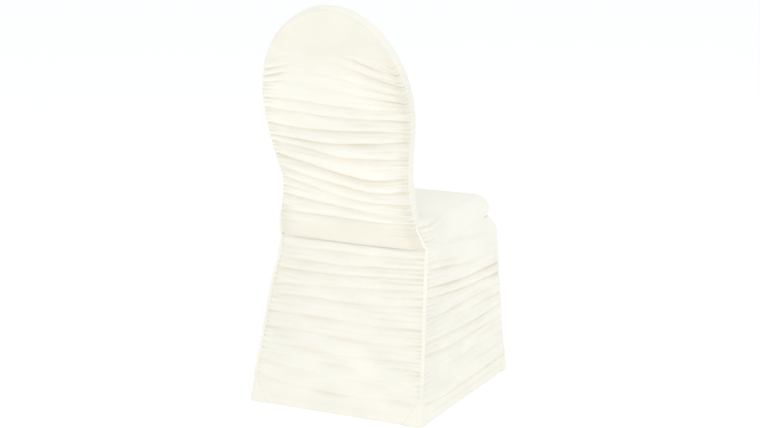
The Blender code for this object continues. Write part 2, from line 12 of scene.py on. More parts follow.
import bmesh
import bpy
import numpy as np
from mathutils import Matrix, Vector


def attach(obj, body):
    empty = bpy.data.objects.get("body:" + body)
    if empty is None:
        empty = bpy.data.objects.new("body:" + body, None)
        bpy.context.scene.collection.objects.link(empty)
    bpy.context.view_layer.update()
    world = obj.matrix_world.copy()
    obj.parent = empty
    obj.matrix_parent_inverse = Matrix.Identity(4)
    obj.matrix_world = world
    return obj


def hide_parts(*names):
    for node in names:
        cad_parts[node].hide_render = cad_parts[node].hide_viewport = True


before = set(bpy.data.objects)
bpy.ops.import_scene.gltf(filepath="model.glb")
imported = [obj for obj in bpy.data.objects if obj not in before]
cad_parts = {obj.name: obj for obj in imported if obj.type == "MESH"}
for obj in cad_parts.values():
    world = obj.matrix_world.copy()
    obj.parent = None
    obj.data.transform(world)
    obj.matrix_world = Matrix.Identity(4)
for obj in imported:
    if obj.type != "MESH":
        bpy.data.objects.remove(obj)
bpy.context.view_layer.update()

bl_info = {
    "name": "Ruched Chair Cover",
    "version": (1, 0, 0),
    "blender": (4, 5, 0),
    "location": "View3D > Sidebar > Chair Cover",
    "description": "Models a gathered stretch cover for a banquet chair, with its stage",
    "category": "Object",
}

MM = 0.001

# Outline at the floor: FLOOR_TURN moves the rear corners left and the front corners right
FLOOR_HALF = 0.220
FLOOR_TURN = 4.0 * MM
FLOOR_REAR_Y = 0.2315
FLOOR_FRONT_Y = -0.2685
FLOOR_CORNER = 0.022
UPRIGHT_FOOT = 4.0 * MM
POCKET_LIFT = 1.6 * MM
# Share of a side, or of half the front, that runs straight before the front corner's bend
STRAIGHT = 0.92

# Seat
SEAT_TOP = 0.452
SEAT_REAR_HALF = 0.187
LEFT_PINCH = 5.0 * MM
LEFT_PINCH_LEVEL = 0.350
LEFT_PINCH_REACH = 0.070
SEAT_FRONT_HALF = 0.206
SEAT_FRONT_Y = -0.2035
SEAT_CORNER = 0.048
SEAT_REAR_Y = 0.1235
SEAT_CROWN = 4.0 * MM
CUSHION_BULGE = 4.0 * MM
SEAT_ROUND_FRONT = 0.030
SEAT_ROUND_REAR_LEFT = 0.012
SEAT_ROUND_REAR_RIGHT = 0.024
SKIRT_SWELL = 0.016
SKIRT_SWELL_LEVEL = 0.368
SWELL_CORNER = 0.028
SEAT_SEAM = (389, 393, 398, 405, 412)
NOTCH_DEPTH = 4.0 * MM
NOTCH_HEIGHT = 4.0 * MM
# NOTCH_SHADE: painted shade added to the hollowness in the notch below a skirt's head
NOTCH_SHADE = 5.0 * MM
HEM_SHARE = 0.72
SEAM_FADE = 0.07
SEAT_LAP = 2.0 * MM
SEAT_OVER = 4
SEAT_OVER_STEP = 4.0 * MM
SEAT_ROWS = 100
SEAT_COLUMNS = 82
# Where the soft folds of the seat's sides fan out from
FAN_Y = 0.150
FAN_Z = 0.372

# Leaning back, measured up its rear plane from the foot of the band
BAND_FOOT_Y = 0.1455
BAND_FOOT_Z = 0.387
LEAN = math.radians(13.1)
WAIST_RISE = 0.150
WAIST_LEFT = 0.160
WAIST_RIGHT = 0.157
FOOT_HALF = 0.1845
WIDEST_RISE = 0.330
WIDEST_LEFT = 0.185
WIDEST_RIGHT = 0.178
SHOULDER_LEFT = 1.7
SHOULDER_RIGHT = 0.0
CROWN_RISE = 0.230
CROWN_CORNER = math.radians(50)
BACK_DEPTH = 0.038
BACK_WIDTH = 0.34
BACK_PUFF = 2.0 * MM
CROWN_CALM = 0.02
REAR_TUCK = 3.0 * MM
HEAD_BEHIND = 2.5 * MM
HEAD_PULL = 7.0 * MM
BAND_FOOT = (390, 386.5, 385, 385.5, 387)
BAND_END_HOLLOW = 4.0 * MM
# Painted shade, added to a sheet's hollowness: over the plain band and the crown, along the back's
# right seam, and for each depth of gather and ripple; FULL_HOLLOW is where the painted shade is
# full
BAND_SHADE = 3.2 * MM
SEAM_SHADE = 2.2 * MM
GATHER_SHADE = 2.5
RELIEF_SHADE = 1.2
FULL_HOLLOW = 6.0 * MM
FRONT_TUCK = 10
REAR_ROUND = 0.010
FRONT_ROUND = 0.013
BACK_PADDING = 5.0 * MM
SEAM_ANGLE = math.radians(45)
SEAM_KEEP = 0.3
WRAP_KEEP = 0.4

# Rear corner bindings and foot pockets
BINDING_TOP = 2.8 * MM
BINDING_TOP_ROUND = 3.4 * MM
BINDING_FOOT_ROUND = 3.0 * MM
BINDING_FOOT_Z = 0.051
BINDING_TUCK_Z = 0.060
BINDING_HEAD_Z = SEAT_TOP - 4.0 * MM
CORNER_PULL = 3.4 * MM
POCKET_TALL = 0.055
POCKET_END_TALL = 6.0 * MM
POCKET_REACH = 0.046
POCKET_SOLE = 0.012
POCKET_ROUND = 0.007
POCKET_PROUD = 2.4 * MM
# How far below a patch's top each row lies and how proud it stands, in millimetres
POCKET_LIP = ((-0.1, -3.0), (0, 0.6), (0.6, 1.5), (1.4, 2.2), (2.4, 2.6), (3.6, 2.5), (5, 2.4))
# How high each row of the turn under the foot lies and how far in it comes, in millimetres
POCKET_TURN = ((2.2, 0.0), (0.9, 0.3), (0.25, 0.9), (0.0, 1.8))

# Stitches: rings along a stitch, by their share of its length and of its radius
STITCH_RINGS = ((-0.5, 0.25), (-0.32, 0.85), (0.0, 1.0), (0.32, 0.85), (0.5, 0.25))
THREAD_RADIUS = 0.32 * MM
HEM_STITCHES = (17 * MM, 21 * MM)

LEAN_SIN = math.sin(LEAN)
LEAN_COS = math.cos(LEAN)
LEAN_TAN = math.tan(LEAN)
SEAM_SIN = math.sin(SEAM_ANGLE)

# Meshing of the cloth
ROW_STEP = 1.4 * MM
ROW_PINCH = 0.35
COLUMN_PINCH = 0.6

# Shape of a fold: the share of the way up to the next crease at which it is fullest
CREST = 0.36
LOW_REACH = 0.010
HIGH_REACH = 0.020
LOW_POWER = 1.9
HIGH_POWER = 1.6
OVERHANG = 0.30
CREASE_UNEVEN = 0.16

# Stage
FLOOR_RADIUS = 9.0
FLOOR_GLOW = 0.085
LIGHT_SIZE = 2.6
LIGHT_TARGET = (0.0, 0.0, 0.45)
CAMERA_PLACE = (-1.8244, 3.7394, 1.3999)
CAMERA_YAW = math.radians(25.99)
CAMERA_PITCH = math.radians(13.21)
CAMERA_LENS = 85.99

KNIT_GROUP = "stretch_knit_surface"
# hollow_tint: how strongly the hollow attribute paints shade into a finish's colour
Finish = namedtuple("Finish", "hollow_tint wales bump bright")
FINISHES = {
    "ivory_knit": Finish(0.50, 900.0, 0.06, 1.0),
    # The binding's knit is painted 1% brighter than the plain knit, a painted highlight on its
    # raised ridge
    "binding_knit": Finish(0.0, 800.0, 0.10, 1.01),
    "pocket_knit": Finish(0.0, 700.0, 0.05, 1.0),
}

Crease = namedtuple("Crease", "heights depths")
Ripple = namedtuple("Ripple", "start start_z end end_z depth width")
Gather = namedtuple("Gather", "z width depth reach")

# Creases by their heights and depths at five places from the left to the right seam
BACK_CREASES = (
    Crease((451, 446, 444, 443, 448), (5, 6, 6, 5, 4)),
    Crease((490, 479, 471, 463, 459), (5, 6, 5, 4, 3)),
    Crease((534, 514, 495, 489, 492), (5, 4, 4, 5, 6)),
    Crease((556, 538, 523, 513, 524), (5, 6, 6, 6, 5)),
    Crease((588, 570, 552, 543, 556), (6, 7, 8, 7, 5)),
    Crease((618, 608, 592, 594, 600), (5, 5, 5, 5, 4)),
    Crease((634, 626, 624, 631, 643), (4, 6, 7, 6, 5)),
    Crease((663, 654, 655, 660, 666), (6, 6, 6, 6, 5)),
    Crease((696, 692, 687, 688, 693), (4, 4, 4, 5, 5)),
    Crease((722, 720, 713, 711, 718), (5, 4, 3, 4, 5)),
    Crease((758, 764, 750, 740, 732), (4, 1, 1.5, 4, 5)),
    Crease((773, 789, 783, 761, 747), (4, 1, 2, 4, 5)),
    Crease((790, 808, 817, 790, 769), (4, 0.5, 1, 4, 4.5)),
    Crease((808, 834, 841, 815, 795), (2, 0, 0, 4, 4)),
)
REAR_SKIRT_CREASES = (
    Crease((60, 50, 43, 46, 46), (1.8, 2.1, 2.1, 1.8, 1.5)),
    Crease((94, 87, 80, 78, 88), (1.5, 1.6, 1.5, 0.5, 0.4)),
    Crease((139, 136, 132, 135, 140), (1.5, 1.9, 2.2, 2.3, 2)),
    Crease((176, 176, 171, 169, 175), (2.6, 2.5, 2.7, 2.6, 2.7)),
    Crease((210, 210, 209, 207, 212), (4, 3.4, 2.6, 2.6, 3.4)),
    Crease((250, 252, 250, 255, 264), (4, 4, 3, 2.5, 4)),
    Crease((274, 278, 285, 289, 298), (3.4, 2.4, 2.4, 3, 4)),
    Crease((310, 309, 311, 317, 324), (5, 4.2, 3.4, 3.4, 4.4)),
    Crease((335, 332, 332, 338, 342), (4.4, 3.6, 3.6, 3.6, 4.6)),
    Crease((360, 361, 361, 363, 366), (3, 3, 3, 3, 3)),
)
SIDE_SKIRT_CREASES = (
    Crease((46, 36, 35, 38, 41), (3, 3, 3, 3, 2.4)),
    Crease((100, 103, 105, 107, 105), (0, 0.4, 1.4, 2.2, 3)),
    Crease((157, 144, 142, 145, 149), (3.2, 4, 3.2, 3.2, 4)),
    Crease((181, 175, 171, 172, 178), (4, 4, 4, 4, 4.2)),
    Crease((207, 209, 208, 206, 206), (0.8, 0.8, 2.4, 3.2, 4)),
    Crease((235, 227, 230, 230, 231), (4, 4, 3.2, 3.2, 4.2)),
    Crease((279, 270, 262, 260, 256), (4, 5, 4.2, 4.8, 5)),
    Crease((303, 292, 285, 284, 284), (3.4, 5, 5.8, 5.8, 6)),
    Crease((340, 331, 320, 318, 318), (4.4, 4.2, 2.4, 1.2, 0.8)),
)
FRONT_SKIRT_CREASES = (
    Crease((46, 37, 40, 34, 44), (4, 3, 3.5, 3, 4)),
    Crease((103, 108, 99, 94, 104), (2, 3, 1, 3, 3)),
    Crease((153, 142, 145, 152, 148), (5, 4, 3, 4, 4)),
    Crease((187, 184, 190, 182, 178), (4, 2, 3, 5, 5)),
    Crease((233, 224, 219, 226, 232), (5, 5, 4, 4, 5)),
    Crease((268, 273, 265, 259, 266), (3, 5, 4, 2, 4)),
    Crease((318, 306, 309, 316, 309), (5, 3, 4, 5, 4)),
)
BACK_FRONT_CREASES = (
    Crease((528, 517, 512, 520, 534), (3, 2, 1.5, 2.5, 3)),
    Crease((586, 590, 580, 571, 578), (2.5, 1, 1.5, 3, 3.5)),
    Crease((668, 655, 650, 657, 661), (3.5, 3, 2, 2, 3)),
    Crease((716, 722, 719, 709, 702), (3, 1, 0.5, 2, 3)),
    Crease((781, 776, 772, 778, 790), (2, 1, 0.5, 1.5, 2.5)),
)

# Short ripples between the creases, placed by the share of the panel's width
BACK_RIPPLES = (
    Ripple(0.02, 603, 0.52, 586, 2.4, 2.8),
    Ripple(0.00, 788, 0.18, 802, 2.6, 2.6),
    Ripple(0.00, 771, 0.20, 790, 2.6, 2.6),
    Ripple(0.00, 756, 0.20, 769, 2.4, 2.6),
    Ripple(0.62, 831, 0.97, 791, 2.6, 3.4),
    Ripple(0.00, 742, 0.24, 744, 1.6, 3.0),
    Ripple(0.03, 707, 0.30, 706, 1.2, 2.6),
    Ripple(0.00, 677, 0.28, 672, 1.4, 2.6),
    Ripple(0.00, 648, 0.30, 641, 1.4, 2.4),
    Ripple(0.00, 573, 0.26, 560, 1.6, 2.4),
    Ripple(0.00, 545, 0.24, 530, 1.4, 2.4),
    Ripple(0.00, 512, 0.30, 498, 2.0, 2.8),
    Ripple(0.00, 470, 0.34, 463, 1.8, 2.8),
    Ripple(0.35, 470, 1.00, 452, 1.0, 3.0),
    Ripple(0.62, 478, 1.00, 475, 1.5, 2.8),
    Ripple(0.66, 500, 1.00, 507, 1.5, 2.6),
    Ripple(0.62, 530, 1.00, 540, 1.6, 2.8),
    Ripple(0.58, 566, 1.00, 578, 1.5, 3.0),
    Ripple(0.60, 608, 1.00, 620, 1.6, 2.8),
    Ripple(0.55, 645, 1.00, 655, 1.5, 2.8),
    Ripple(0.50, 672, 1.00, 680, 1.5, 3.0),
    Ripple(0.48, 700, 1.00, 706, 1.5, 3.0),
    Ripple(0.56, 728, 1.00, 725, 1.5, 2.8),
    Ripple(0.60, 752, 1.00, 740, 1.7, 2.8),
    Ripple(0.60, 776, 1.00, 758, 1.8, 3.0),
    Ripple(0.62, 800, 1.00, 781, 1.8, 3.0),
    Ripple(0.20, 668, 0.70, 672, 0.9, 3.5),
    Ripple(0.15, 640, 0.62, 641, 0.9, 3.5),
)
REAR_SKIRT_RIPPLES = (
    Ripple(0.00, 347, 0.18, 347, 1.8, 2.6),
    Ripple(0.00, 323, 0.25, 321, 1.5, 2.6),
    Ripple(0.00, 296, 0.24, 288, 2.0, 2.8),
    Ripple(0.00, 262, 0.20, 264, 1.6, 2.6),
    Ripple(0.00, 231, 0.30, 232, 1.7, 2.8),
    Ripple(0.00, 194, 0.28, 192, 1.5, 2.6),
    Ripple(0.00, 157, 0.30, 155, 1.5, 2.8),
    Ripple(0.00, 116, 0.30, 110, 1.4, 2.8),
    Ripple(0.30, 230, 0.75, 228, 1.1, 3.6),
    Ripple(0.25, 190, 0.70, 188, 1.0, 3.6),
    Ripple(0.22, 112, 0.80, 104, 1.2, 4.2),
    Ripple(0.66, 352, 1.00, 354, 1.7, 2.6),
    Ripple(0.60, 328, 1.00, 333, 1.6, 2.6),
    Ripple(0.62, 304, 1.00, 311, 1.7, 2.8),
    Ripple(0.66, 272, 1.00, 281, 1.7, 2.8),
    Ripple(0.58, 236, 1.00, 246, 1.6, 2.8),
    Ripple(0.62, 224, 1.00, 229, 1.5, 2.8),
    Ripple(0.60, 189, 1.00, 194, 1.6, 2.8),
    Ripple(0.62, 152, 1.00, 157, 1.6, 2.8),
    Ripple(0.66, 118, 1.00, 122, 1.5, 2.8),
)
SIDE_SKIRT_RIPPLES = (
    Ripple(0.00, 379, 0.98, 348, -4.2, 8.0),
    Ripple(0.00, 358, 0.55, 336, 1.6, 4.0),
    Ripple(0.00, 322, 0.40, 306, 1.6, 3.0),
    Ripple(0.00, 290, 0.30, 281, 1.7, 2.8),
    Ripple(0.00, 262, 0.36, 249, 1.6, 2.8),
    Ripple(0.00, 250, 0.24, 240, 1.5, 2.6),
    Ripple(0.00, 221, 0.34, 217, 1.6, 2.8),
    Ripple(0.00, 194, 0.30, 190, 1.5, 2.8),
    Ripple(0.00, 169, 0.26, 160, 1.5, 2.8),
    Ripple(0.30, 240, 1.00, 243, 1.3, 3.4),
    Ripple(0.35, 191, 1.00, 192, 1.3, 3.4),
    Ripple(0.55, 300, 1.00, 300, 1.4, 3.6),
    Ripple(0.45, 126, 1.00, 128, 1.4, 4.0),
    Ripple(0.50, 78, 1.00, 76, 1.3, 4.0),
    Ripple(0.00, 128, 0.30, 118, 1.3, 3.2),
)
FRONT_SKIRT_RIPPLES = (
    Ripple(0.00, 72, 0.40, 68, 1.4, 3.6),
    Ripple(0.00, 125, 0.35, 120, 1.6, 3.0),
    Ripple(0.60, 127, 1.00, 131, 1.5, 3.0),
    Ripple(0.50, 170, 1.00, 165, 1.4, 3.2),
    Ripple(0.00, 208, 0.30, 203, 1.6, 2.8),
    Ripple(0.55, 250, 1.00, 247, 1.6, 3.0),
    Ripple(0.00, 292, 0.40, 287, 1.6, 3.0),
    Ripple(0.65, 284, 1.00, 291, 1.6, 2.8),
    Ripple(0.20, 347, 0.80, 341, 1.2, 4.0),
)

# Seams: seed, heights, pitch of the gathers and how far they run in
SeamGathers = namedtuple("SeamGathers", "seed low high pitch reach")
SEAMS = {
    "back_left": SeamGathers(11, 0.425, 0.765, 10.5 * MM, (0.020, 0.070)),
    "back_right": SeamGathers(12, 0.418, 0.815, 8.6 * MM, (0.030, 0.120)),
    "corner_left": SeamGathers(13, 0.066, 0.386, 11.5 * MM, (0.015, 0.060)),
    "corner_right": SeamGathers(14, 0.066, 0.386, 10.5 * MM, (0.020, 0.090)),
    "front": SeamGathers(15, 0.070, 0.380, 12.0 * MM, (0.015, 0.040)),
    "seat": SeamGathers(16, 0.392, 0.446, 11.0 * MM, (0.050, 0.120)),
}
BACK_SEAMS = ("back_left", "back_right")
SIDES = (("left", 1), ("right", -1))
Rim = namedtuple("Rim", "outset out angle keep keep_gathers")
Skirt = namedtuple(
    "Skirt", "creases ripples head width place seams ends lifted seed notch notch_below"
)


class CoverSizes(bpy.types.PropertyGroup):
    """Sizes of the cloth and its sewing."""

    cloth: bpy.props.FloatProperty(
        name="Cloth", description="Thickness of the stretch knit",
        default=0.9 * MM, min=0.2 * MM, max=2.0 * MM, unit="LENGTH",
    )
    fold_depth: bpy.props.FloatProperty(
        name="Fold depth", description="Depth of the folds, as a share of the measured one",
        default=1.0, min=0.0, max=1.5,
    )
    gather_depth: bpy.props.FloatProperty(
        name="Gather depth", description="Depth of the short gathers at the seams",
        default=2.8 * MM, min=0.0, max=4.0 * MM, unit="LENGTH",
    )
    crinkle: bpy.props.FloatProperty(
        name="Crinkle", description="Height of the fine crinkles between the folds",
        default=0.32 * MM, min=0.0, max=1.0 * MM, unit="LENGTH",
    )
    band_height: bpy.props.FloatProperty(
        name="Band", description="Height of the plain band at the foot of the back",
        default=0.028, min=0.010, max=0.050, unit="LENGTH",
    )
    binding_radius: bpy.props.FloatProperty(
        name="Binding", description="Radius of the gathered binding down each rear corner",
        default=4.7 * MM, min=2.0 * MM, max=6.0 * MM, unit="LENGTH",
    )
    stitch: bpy.props.FloatProperty(
        name="Stitch", description="Length of a stitch of the hems",
        default=2.6 * MM, min=1.0 * MM, max=5.0 * MM, unit="LENGTH",
    )


class CoverColours(bpy.types.PropertyGroup):
    """Colours of the cloth, of the shade painted into it, and of the stage."""

    ivory: bpy.props.FloatVectorProperty(
        name="Ivory", description="Colour of the stretch knit", subtype="COLOR",
        size=3, default=(0.93, 0.905, 0.815), min=0.0, max=1.0,
    )
    # Painted shade: the colour that the knit is painted towards in creases, gathers, the plain band
    # and the crown
    painted_shade: bpy.props.FloatVectorProperty(
        name="Deep ivory", description="Colour of the knit down in the creases", subtype="COLOR",
        size=3, default=(0.76, 0.70, 0.55), min=0.0, max=1.0,
    )
    thread: bpy.props.FloatVectorProperty(
        name="Thread", description="Colour of the sewing thread", subtype="COLOR",
        size=3, default=(0.90, 0.87, 0.78), min=0.0, max=1.0,
    )
    floor: bpy.props.FloatVectorProperty(
        name="Floor", description="Colour of the studio floor", subtype="COLOR",
        size=3, default=(1.0, 1.0, 1.0), min=0.0, max=1.0,
    )


class CoverStage(bpy.types.PropertyGroup):
    """Light of the studio."""

    ambient: bpy.props.FloatProperty(
        name="Ambient", description="Strength of the white surroundings",
        default=0.92, min=0.0, max=3.0,
    )
    fill: bpy.props.FloatProperty(
        name="Fill", description="Power of the soft light on the side",
        default=20.0, min=0.0, max=1000.0, unit="POWER",
    )
    key: bpy.props.FloatProperty(
        name="Key", description="Power of the large soft light by the camera",
        default=18.0, min=0.0, max=1000.0, unit="POWER",
    )


def mix(a, b, share):
    return a + (b - a) * share


def smooth(value):
    value = np.clip(value, 0.0, 1.0)
    return value * value * (3.0 - 2.0 * value)


def through(values, t):
    """The smooth curve through values evenly spaced from t = 0 to 1, read at t."""
    values = np.asarray(values, float)
    last = len(values) - 1
    first_step = 2 * values[0] - values[1]
    last_step = 2 * values[-1] - values[-2]
    padded = np.concatenate(([first_step], values, [last_step]))
    place = np.clip(np.asarray(t, float) * last, 0.0, last - 1e-9)
    index = place.astype(int)
    s = place - index
    a, b, c, d = (padded[index + step] for step in range(4))
    cubic = s * (3 * (b - c) + d - a)
    return b + 0.5 * s * (c - a + s * (2 * a - 5 * b + 4 * c - d + cubic))


def spread(count):
    """Shares from 0 to 1 that lie closer together near both ends."""
    share = np.linspace(0.0, 1.0, count)
    return share - COLUMN_PINCH * np.sin(2 * math.pi * share) / (2 * math.pi)


def waves(x, z, seed, size_x, size_z):
    """A few crossing waves, mostly between -1 and 1."""
    draw = random.Random(seed)
    total = 0.0
    for _ in range(7):
        across = draw.choice((-1, 1)) * draw.uniform(0.5, 1.5) / size_x
        upward = draw.uniform(0.6, 1.5) / size_z
        phase = draw.uniform(0, 2 * math.pi)
        total = total + np.sin(2 * math.pi * (x * across + z * upward) + phase)
    return total / 3.5


def gathers_of(seam):
    """The gathers along a seam, the same for each panel that meets there."""
    made = SEAMS[seam]
    draw = random.Random(made.seed)
    found = []
    z = made.low
    while z < made.high:
        width = draw.uniform(1.5, 2.9) * MM
        found.append(Gather(z, width, draw.uniform(0.3, 1.0), draw.uniform(*made.reach)))
        z += made.pitch * draw.uniform(0.7, 1.3)
    return found


def trough(off, crest, crest_off):
    """A trough with a lower crest beside it, by the distance from its middle in widths."""
    return np.exp(-off * off) - crest * np.exp(-((off - crest_off) ** 2))


def gather_relief(seam, heights, distance, depth):
    """Relief of a seam's gathers, for rows that end at these heights, at a distance in."""
    total = np.zeros(np.broadcast(heights[:, None], distance).shape)
    for gather in gathers_of(seam):
        ridge = trough((heights - gather.z) / gather.width, 0.3, 1.8)[:, None]
        fade = np.clip(1.0 - distance / gather.reach, 0.0, 1.0) ** 1.5
        total -= depth * gather.depth * ridge * fade
    return total


def both_gathers(seams, shares, z, width, depth):
    """Relief of the gathers along a panel's first seam and its last."""
    first = gather_relief(seams[0], z[:, 0], shares * width, depth)
    return first + gather_relief(seams[1], z[:, -1], (1 - shares) * width, depth)


def ripple_relief(ripples, t, z):
    """Relief of the short ripples at each point of a panel."""
    total = np.zeros_like(z)
    for ripple in ripples:
        share = (t - ripple.start) / (ripple.end - ripple.start)
        middle = mix(ripple.start_z, ripple.end_z, np.clip(share, 0.0, 1.0)) * MM
        open_start = 1.0 if ripple.start <= 0.0 else smooth(share / 0.35)
        open_end = 1.0 if ripple.end >= 1.0 else smooth((1.0 - share) / 0.5)
        inside = np.where((share >= 0) & (share <= 1), open_start * open_end, 0.0)
        shape = trough((z - middle) / (ripple.width * MM), 0.35, 1.7)
        total -= ripple.depth * MM * inside * shape
    return total


def crease_line(crease, t, seed, crest):
    """A crease's heights and depths in metres along t, a little uneven, and the crest above it."""
    draw = random.Random(seed)
    phase = draw.uniform(0, 2 * math.pi)
    uneven = 1.0 + CREASE_UNEVEN * np.sin(t * draw.uniform(9, 14) + phase)
    depths = np.clip(through(crease.depths, t), 0.0, None) * MM * uneven
    return through(crease.heights, t) * MM, depths * settings()[0].fold_depth, crest


def folded_rows(lines, t):
    """Heights, reliefs and hollowness of a mesh's rows: a line is (heights, depths, crest)."""
    heights, reliefs, hollows = [], [], []
    for (low, low_depth, low_crest), (high, high_depth, high_crest) in zip(lines, lines[1:]):
        spacing = high - low
        count = max(3, round(float(spacing.mean()) / ROW_STEP))
        low_reach = np.minimum(spacing * CREST, LOW_REACH)
        high_reach = np.minimum(spacing * (1 - CREST), HIGH_REACH)
        for step in range(count):
            share = step / count
            share -= ROW_PINCH * math.sin(2 * math.pi * share) / (2 * math.pi)
            near_low = np.clip(spacing * share / low_reach, 0.0, 1.0)
            near_high = np.clip(spacing * (1 - share) / high_reach, 0.0, 1.0)
            groove = low_depth * (1 - near_low) ** LOW_POWER
            groove = groove + high_depth * (1 - near_high) ** HIGH_POWER
            sag = OVERHANG * low_depth * 4 * near_low * (1 - near_low)
            heights.append(low + spacing * share - sag)
            reliefs.append(mix(low_crest, high_crest, smooth(share)) - groove)
            hollows.append(groove)
    low, depth, crest = lines[-1]
    heights.append(low)
    reliefs.append(crest - depth)
    hollows.append(depth)
    return np.array(heights), np.array(reliefs), np.array(hollows)


def flat_line(heights, t, crest=0.0):
    """A line for folded_rows without a crease."""
    return through(heights, t) * MM, np.zeros_like(t), crest


def lean_rise(z):
    """How far up the lean a height of the rear plane is."""
    return (z - BAND_FOOT_Z) / LEAN_COS


def crease_lines(creases, t, seed, crest=0.0):
    """Lines for folded_rows from a table of creases."""
    return [crease_line(crease, t, seed + number, crest) for number, crease in enumerate(creases)]


def stacked(*parts):
    """Points from their coordinates, spread out to one shape."""
    return np.stack(np.broadcast_arrays(*parts), axis=-1)


def lean_points(x, rise, out):
    """Points of the leaning back: x across, rise up the lean, out towards the rear."""
    y = BAND_FOOT_Y + rise * LEAN_SIN + out * LEAN_COS
    z = BAND_FOOT_Z + rise * LEAN_COS - out * LEAN_SIN
    return stacked(x, y, z)


def half_width(rise, side, inset=0.0):
    """Half width of the rear seam's outline, side 1 on the left and -1 on the right."""
    rise = np.asarray(rise, float)
    widest = WIDEST_LEFT if side > 0 else WIDEST_RIGHT
    share = np.clip((rise - WIDEST_RISE) / (CROWN_RISE - inset), 0.0, 1.0)
    crown = (widest - inset) * np.sqrt(1.0 - share * share)
    waist = WAIST_LEFT if side > 0 else WAIST_RIGHT
    share = np.clip((rise - WAIST_RISE) / (WIDEST_RISE - WAIST_RISE), 0.0, 1.0)
    early = SHOULDER_LEFT if side > 0 else SHOULDER_RIGHT
    shoulder = mix(waist, widest, smooth(share) + early * share * (1 - share) ** 2) - inset
    fall = np.clip(1.0 - rise / WAIST_RISE, -0.2, 1.2)
    flare = smooth(fall) if side > 0 else np.clip(fall, 0.0, None) ** 3
    foot = mix(waist, FOOT_HALF, flare) - inset
    return np.where(rise >= WIDEST_RISE, crown, np.where(rise >= WAIST_RISE, shoulder, foot))


def outline_normals(x, rise):
    """The outward directions of the back's outline, in the plane of the lean."""
    slope_left = (half_width(rise + MM, 1) - half_width(rise - MM, 1)) / (2 * MM)
    slope_right = (half_width(rise + MM, -1) - half_width(rise - MM, -1)) / (2 * MM)
    widest = np.where(x > 0, WIDEST_LEFT, WIDEST_RIGHT)
    across = np.where(rise >= WIDEST_RISE, x / widest**2, np.sign(x))
    slope = np.where(x > 0, slope_left, slope_right)
    upward = np.where(rise >= WIDEST_RISE, (rise - WIDEST_RISE) / CROWN_RISE**2, -slope)
    length = np.hypot(across, upward)
    return across / length, upward / length


def grid_faces(rows, columns):
    """The quads of a grid of points, as arrays of four indices."""
    corner = (np.arange(rows - 1)[:, None] * columns + np.arange(columns - 1)[None, :]).ravel()
    return np.stack((corner, corner + 1, corner + columns + 1, corner + columns), axis=1)


def rim_path(rows, columns):
    """The grid's points down its first side, along its last row and back up its other side."""
    first = np.arange(rows) * columns
    last = (rows - 1) * columns + np.arange(1, columns - 1)
    other = np.arange(rows - 1, -1, -1) * columns + columns - 1
    return np.concatenate((first, last, other))


def loop_faces(path, start, loops):
    """The quads that join loops of points, numbered from start, to a path of points."""
    faces = []
    size = len(path)
    for number in range(loops):
        new = start + number * size + np.arange(size)
        faces.append(np.stack((path[:-1], path[1:], new[1:], new[:-1]), axis=1))
        path = new
    return np.concatenate(faces)


def ride_and_declare(piece, nodes):
    """Fixes a piece to the frame: the nodes that it stands in for."""
    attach(piece, "root")
    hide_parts(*nodes)


def add_sheet(name, points, faces, flat, hollow, inside, finish):
    """A sheet of cloth with its own UV map in metres, and its hollowness as an attribute that
    paints shade into its colour.
    """
    mesh = bpy.data.meshes.new(name)
    mesh.from_pydata(points.tolist(), [], faces.tolist())
    centres = np.array([face.center for face in mesh.polygons])
    normals = np.array([face.normal for face in mesh.polygons])
    if np.sum(normals * (centres - np.asarray(inside))) < 0:
        mesh.flip_normals()
    layer = mesh.uv_layers.new(name="UVMap")
    corners = np.empty(len(mesh.loops), dtype=np.int32)
    mesh.loops.foreach_get("vertex_index", corners)
    layer.data.foreach_set("uv", np.asarray(flat, float)[corners].ravel())
    # The hollow attribute is painted shade: the deeper the crease or gather, the darker the knit is
    # painted
    attribute = mesh.attributes.new("hollow", "FLOAT", "POINT")
    attribute.data.foreach_set("value", np.clip(hollow / FULL_HOLLOW, 0.0, 1.0))
    mesh.materials.append(knit_material(finish))
    mesh.shade_smooth()
    piece = bpy.data.objects.new(name, mesh)
    bpy.context.collection.objects.link(piece)
    solidify = piece.modifiers.new("cloth", "SOLIDIFY")
    solidify.thickness = settings()[0].cloth
    solidify.offset = -1.0
    return piece


def settings():
    """The sizes, the colours and the light of the cover."""
    scene = bpy.context.scene
    return scene.cover_sizes, scene.cover_colours, scene.cover_stage


def back_face(columns, lines, inset):
    """Grids of x, height, relief and hollowness for a face of the back."""
    z, relief, hollow = folded_rows(lines, columns)
    left = half_width(lean_rise(z[:, 0]), 1, inset)[:, None]
    right = half_width(lean_rise(z[:, -1]), -1, inset)[:, None]
    x = left + (-right - left) * columns[None, :]
    return x, z, relief, hollow


def crown_lines(columns, inset, below, share, crest):
    """Two lines for folded_rows: one between a height below and the crown, and the crown's arc."""
    left, right = WIDEST_LEFT - inset, WIDEST_RIGHT - inset
    x = mix(left, -right, columns)
    across = np.where(x > 0, x / left, x / right) * math.cos(CROWN_CORNER)
    rise = WIDEST_RISE + (CROWN_RISE - inset) * np.sqrt(1.0 - across * across)
    top = BAND_FOOT_Z + rise * LEAN_COS
    plain = np.zeros_like(columns)
    return [(mix(below, top, share), plain, crest), (top, plain, 0.0)]


def crown_calm(top, z):
    """The share that relief keeps at each height, down to none along the crown."""
    return smooth((lean_rise(top)[None, :] - lean_rise(z)) / CROWN_CALM)


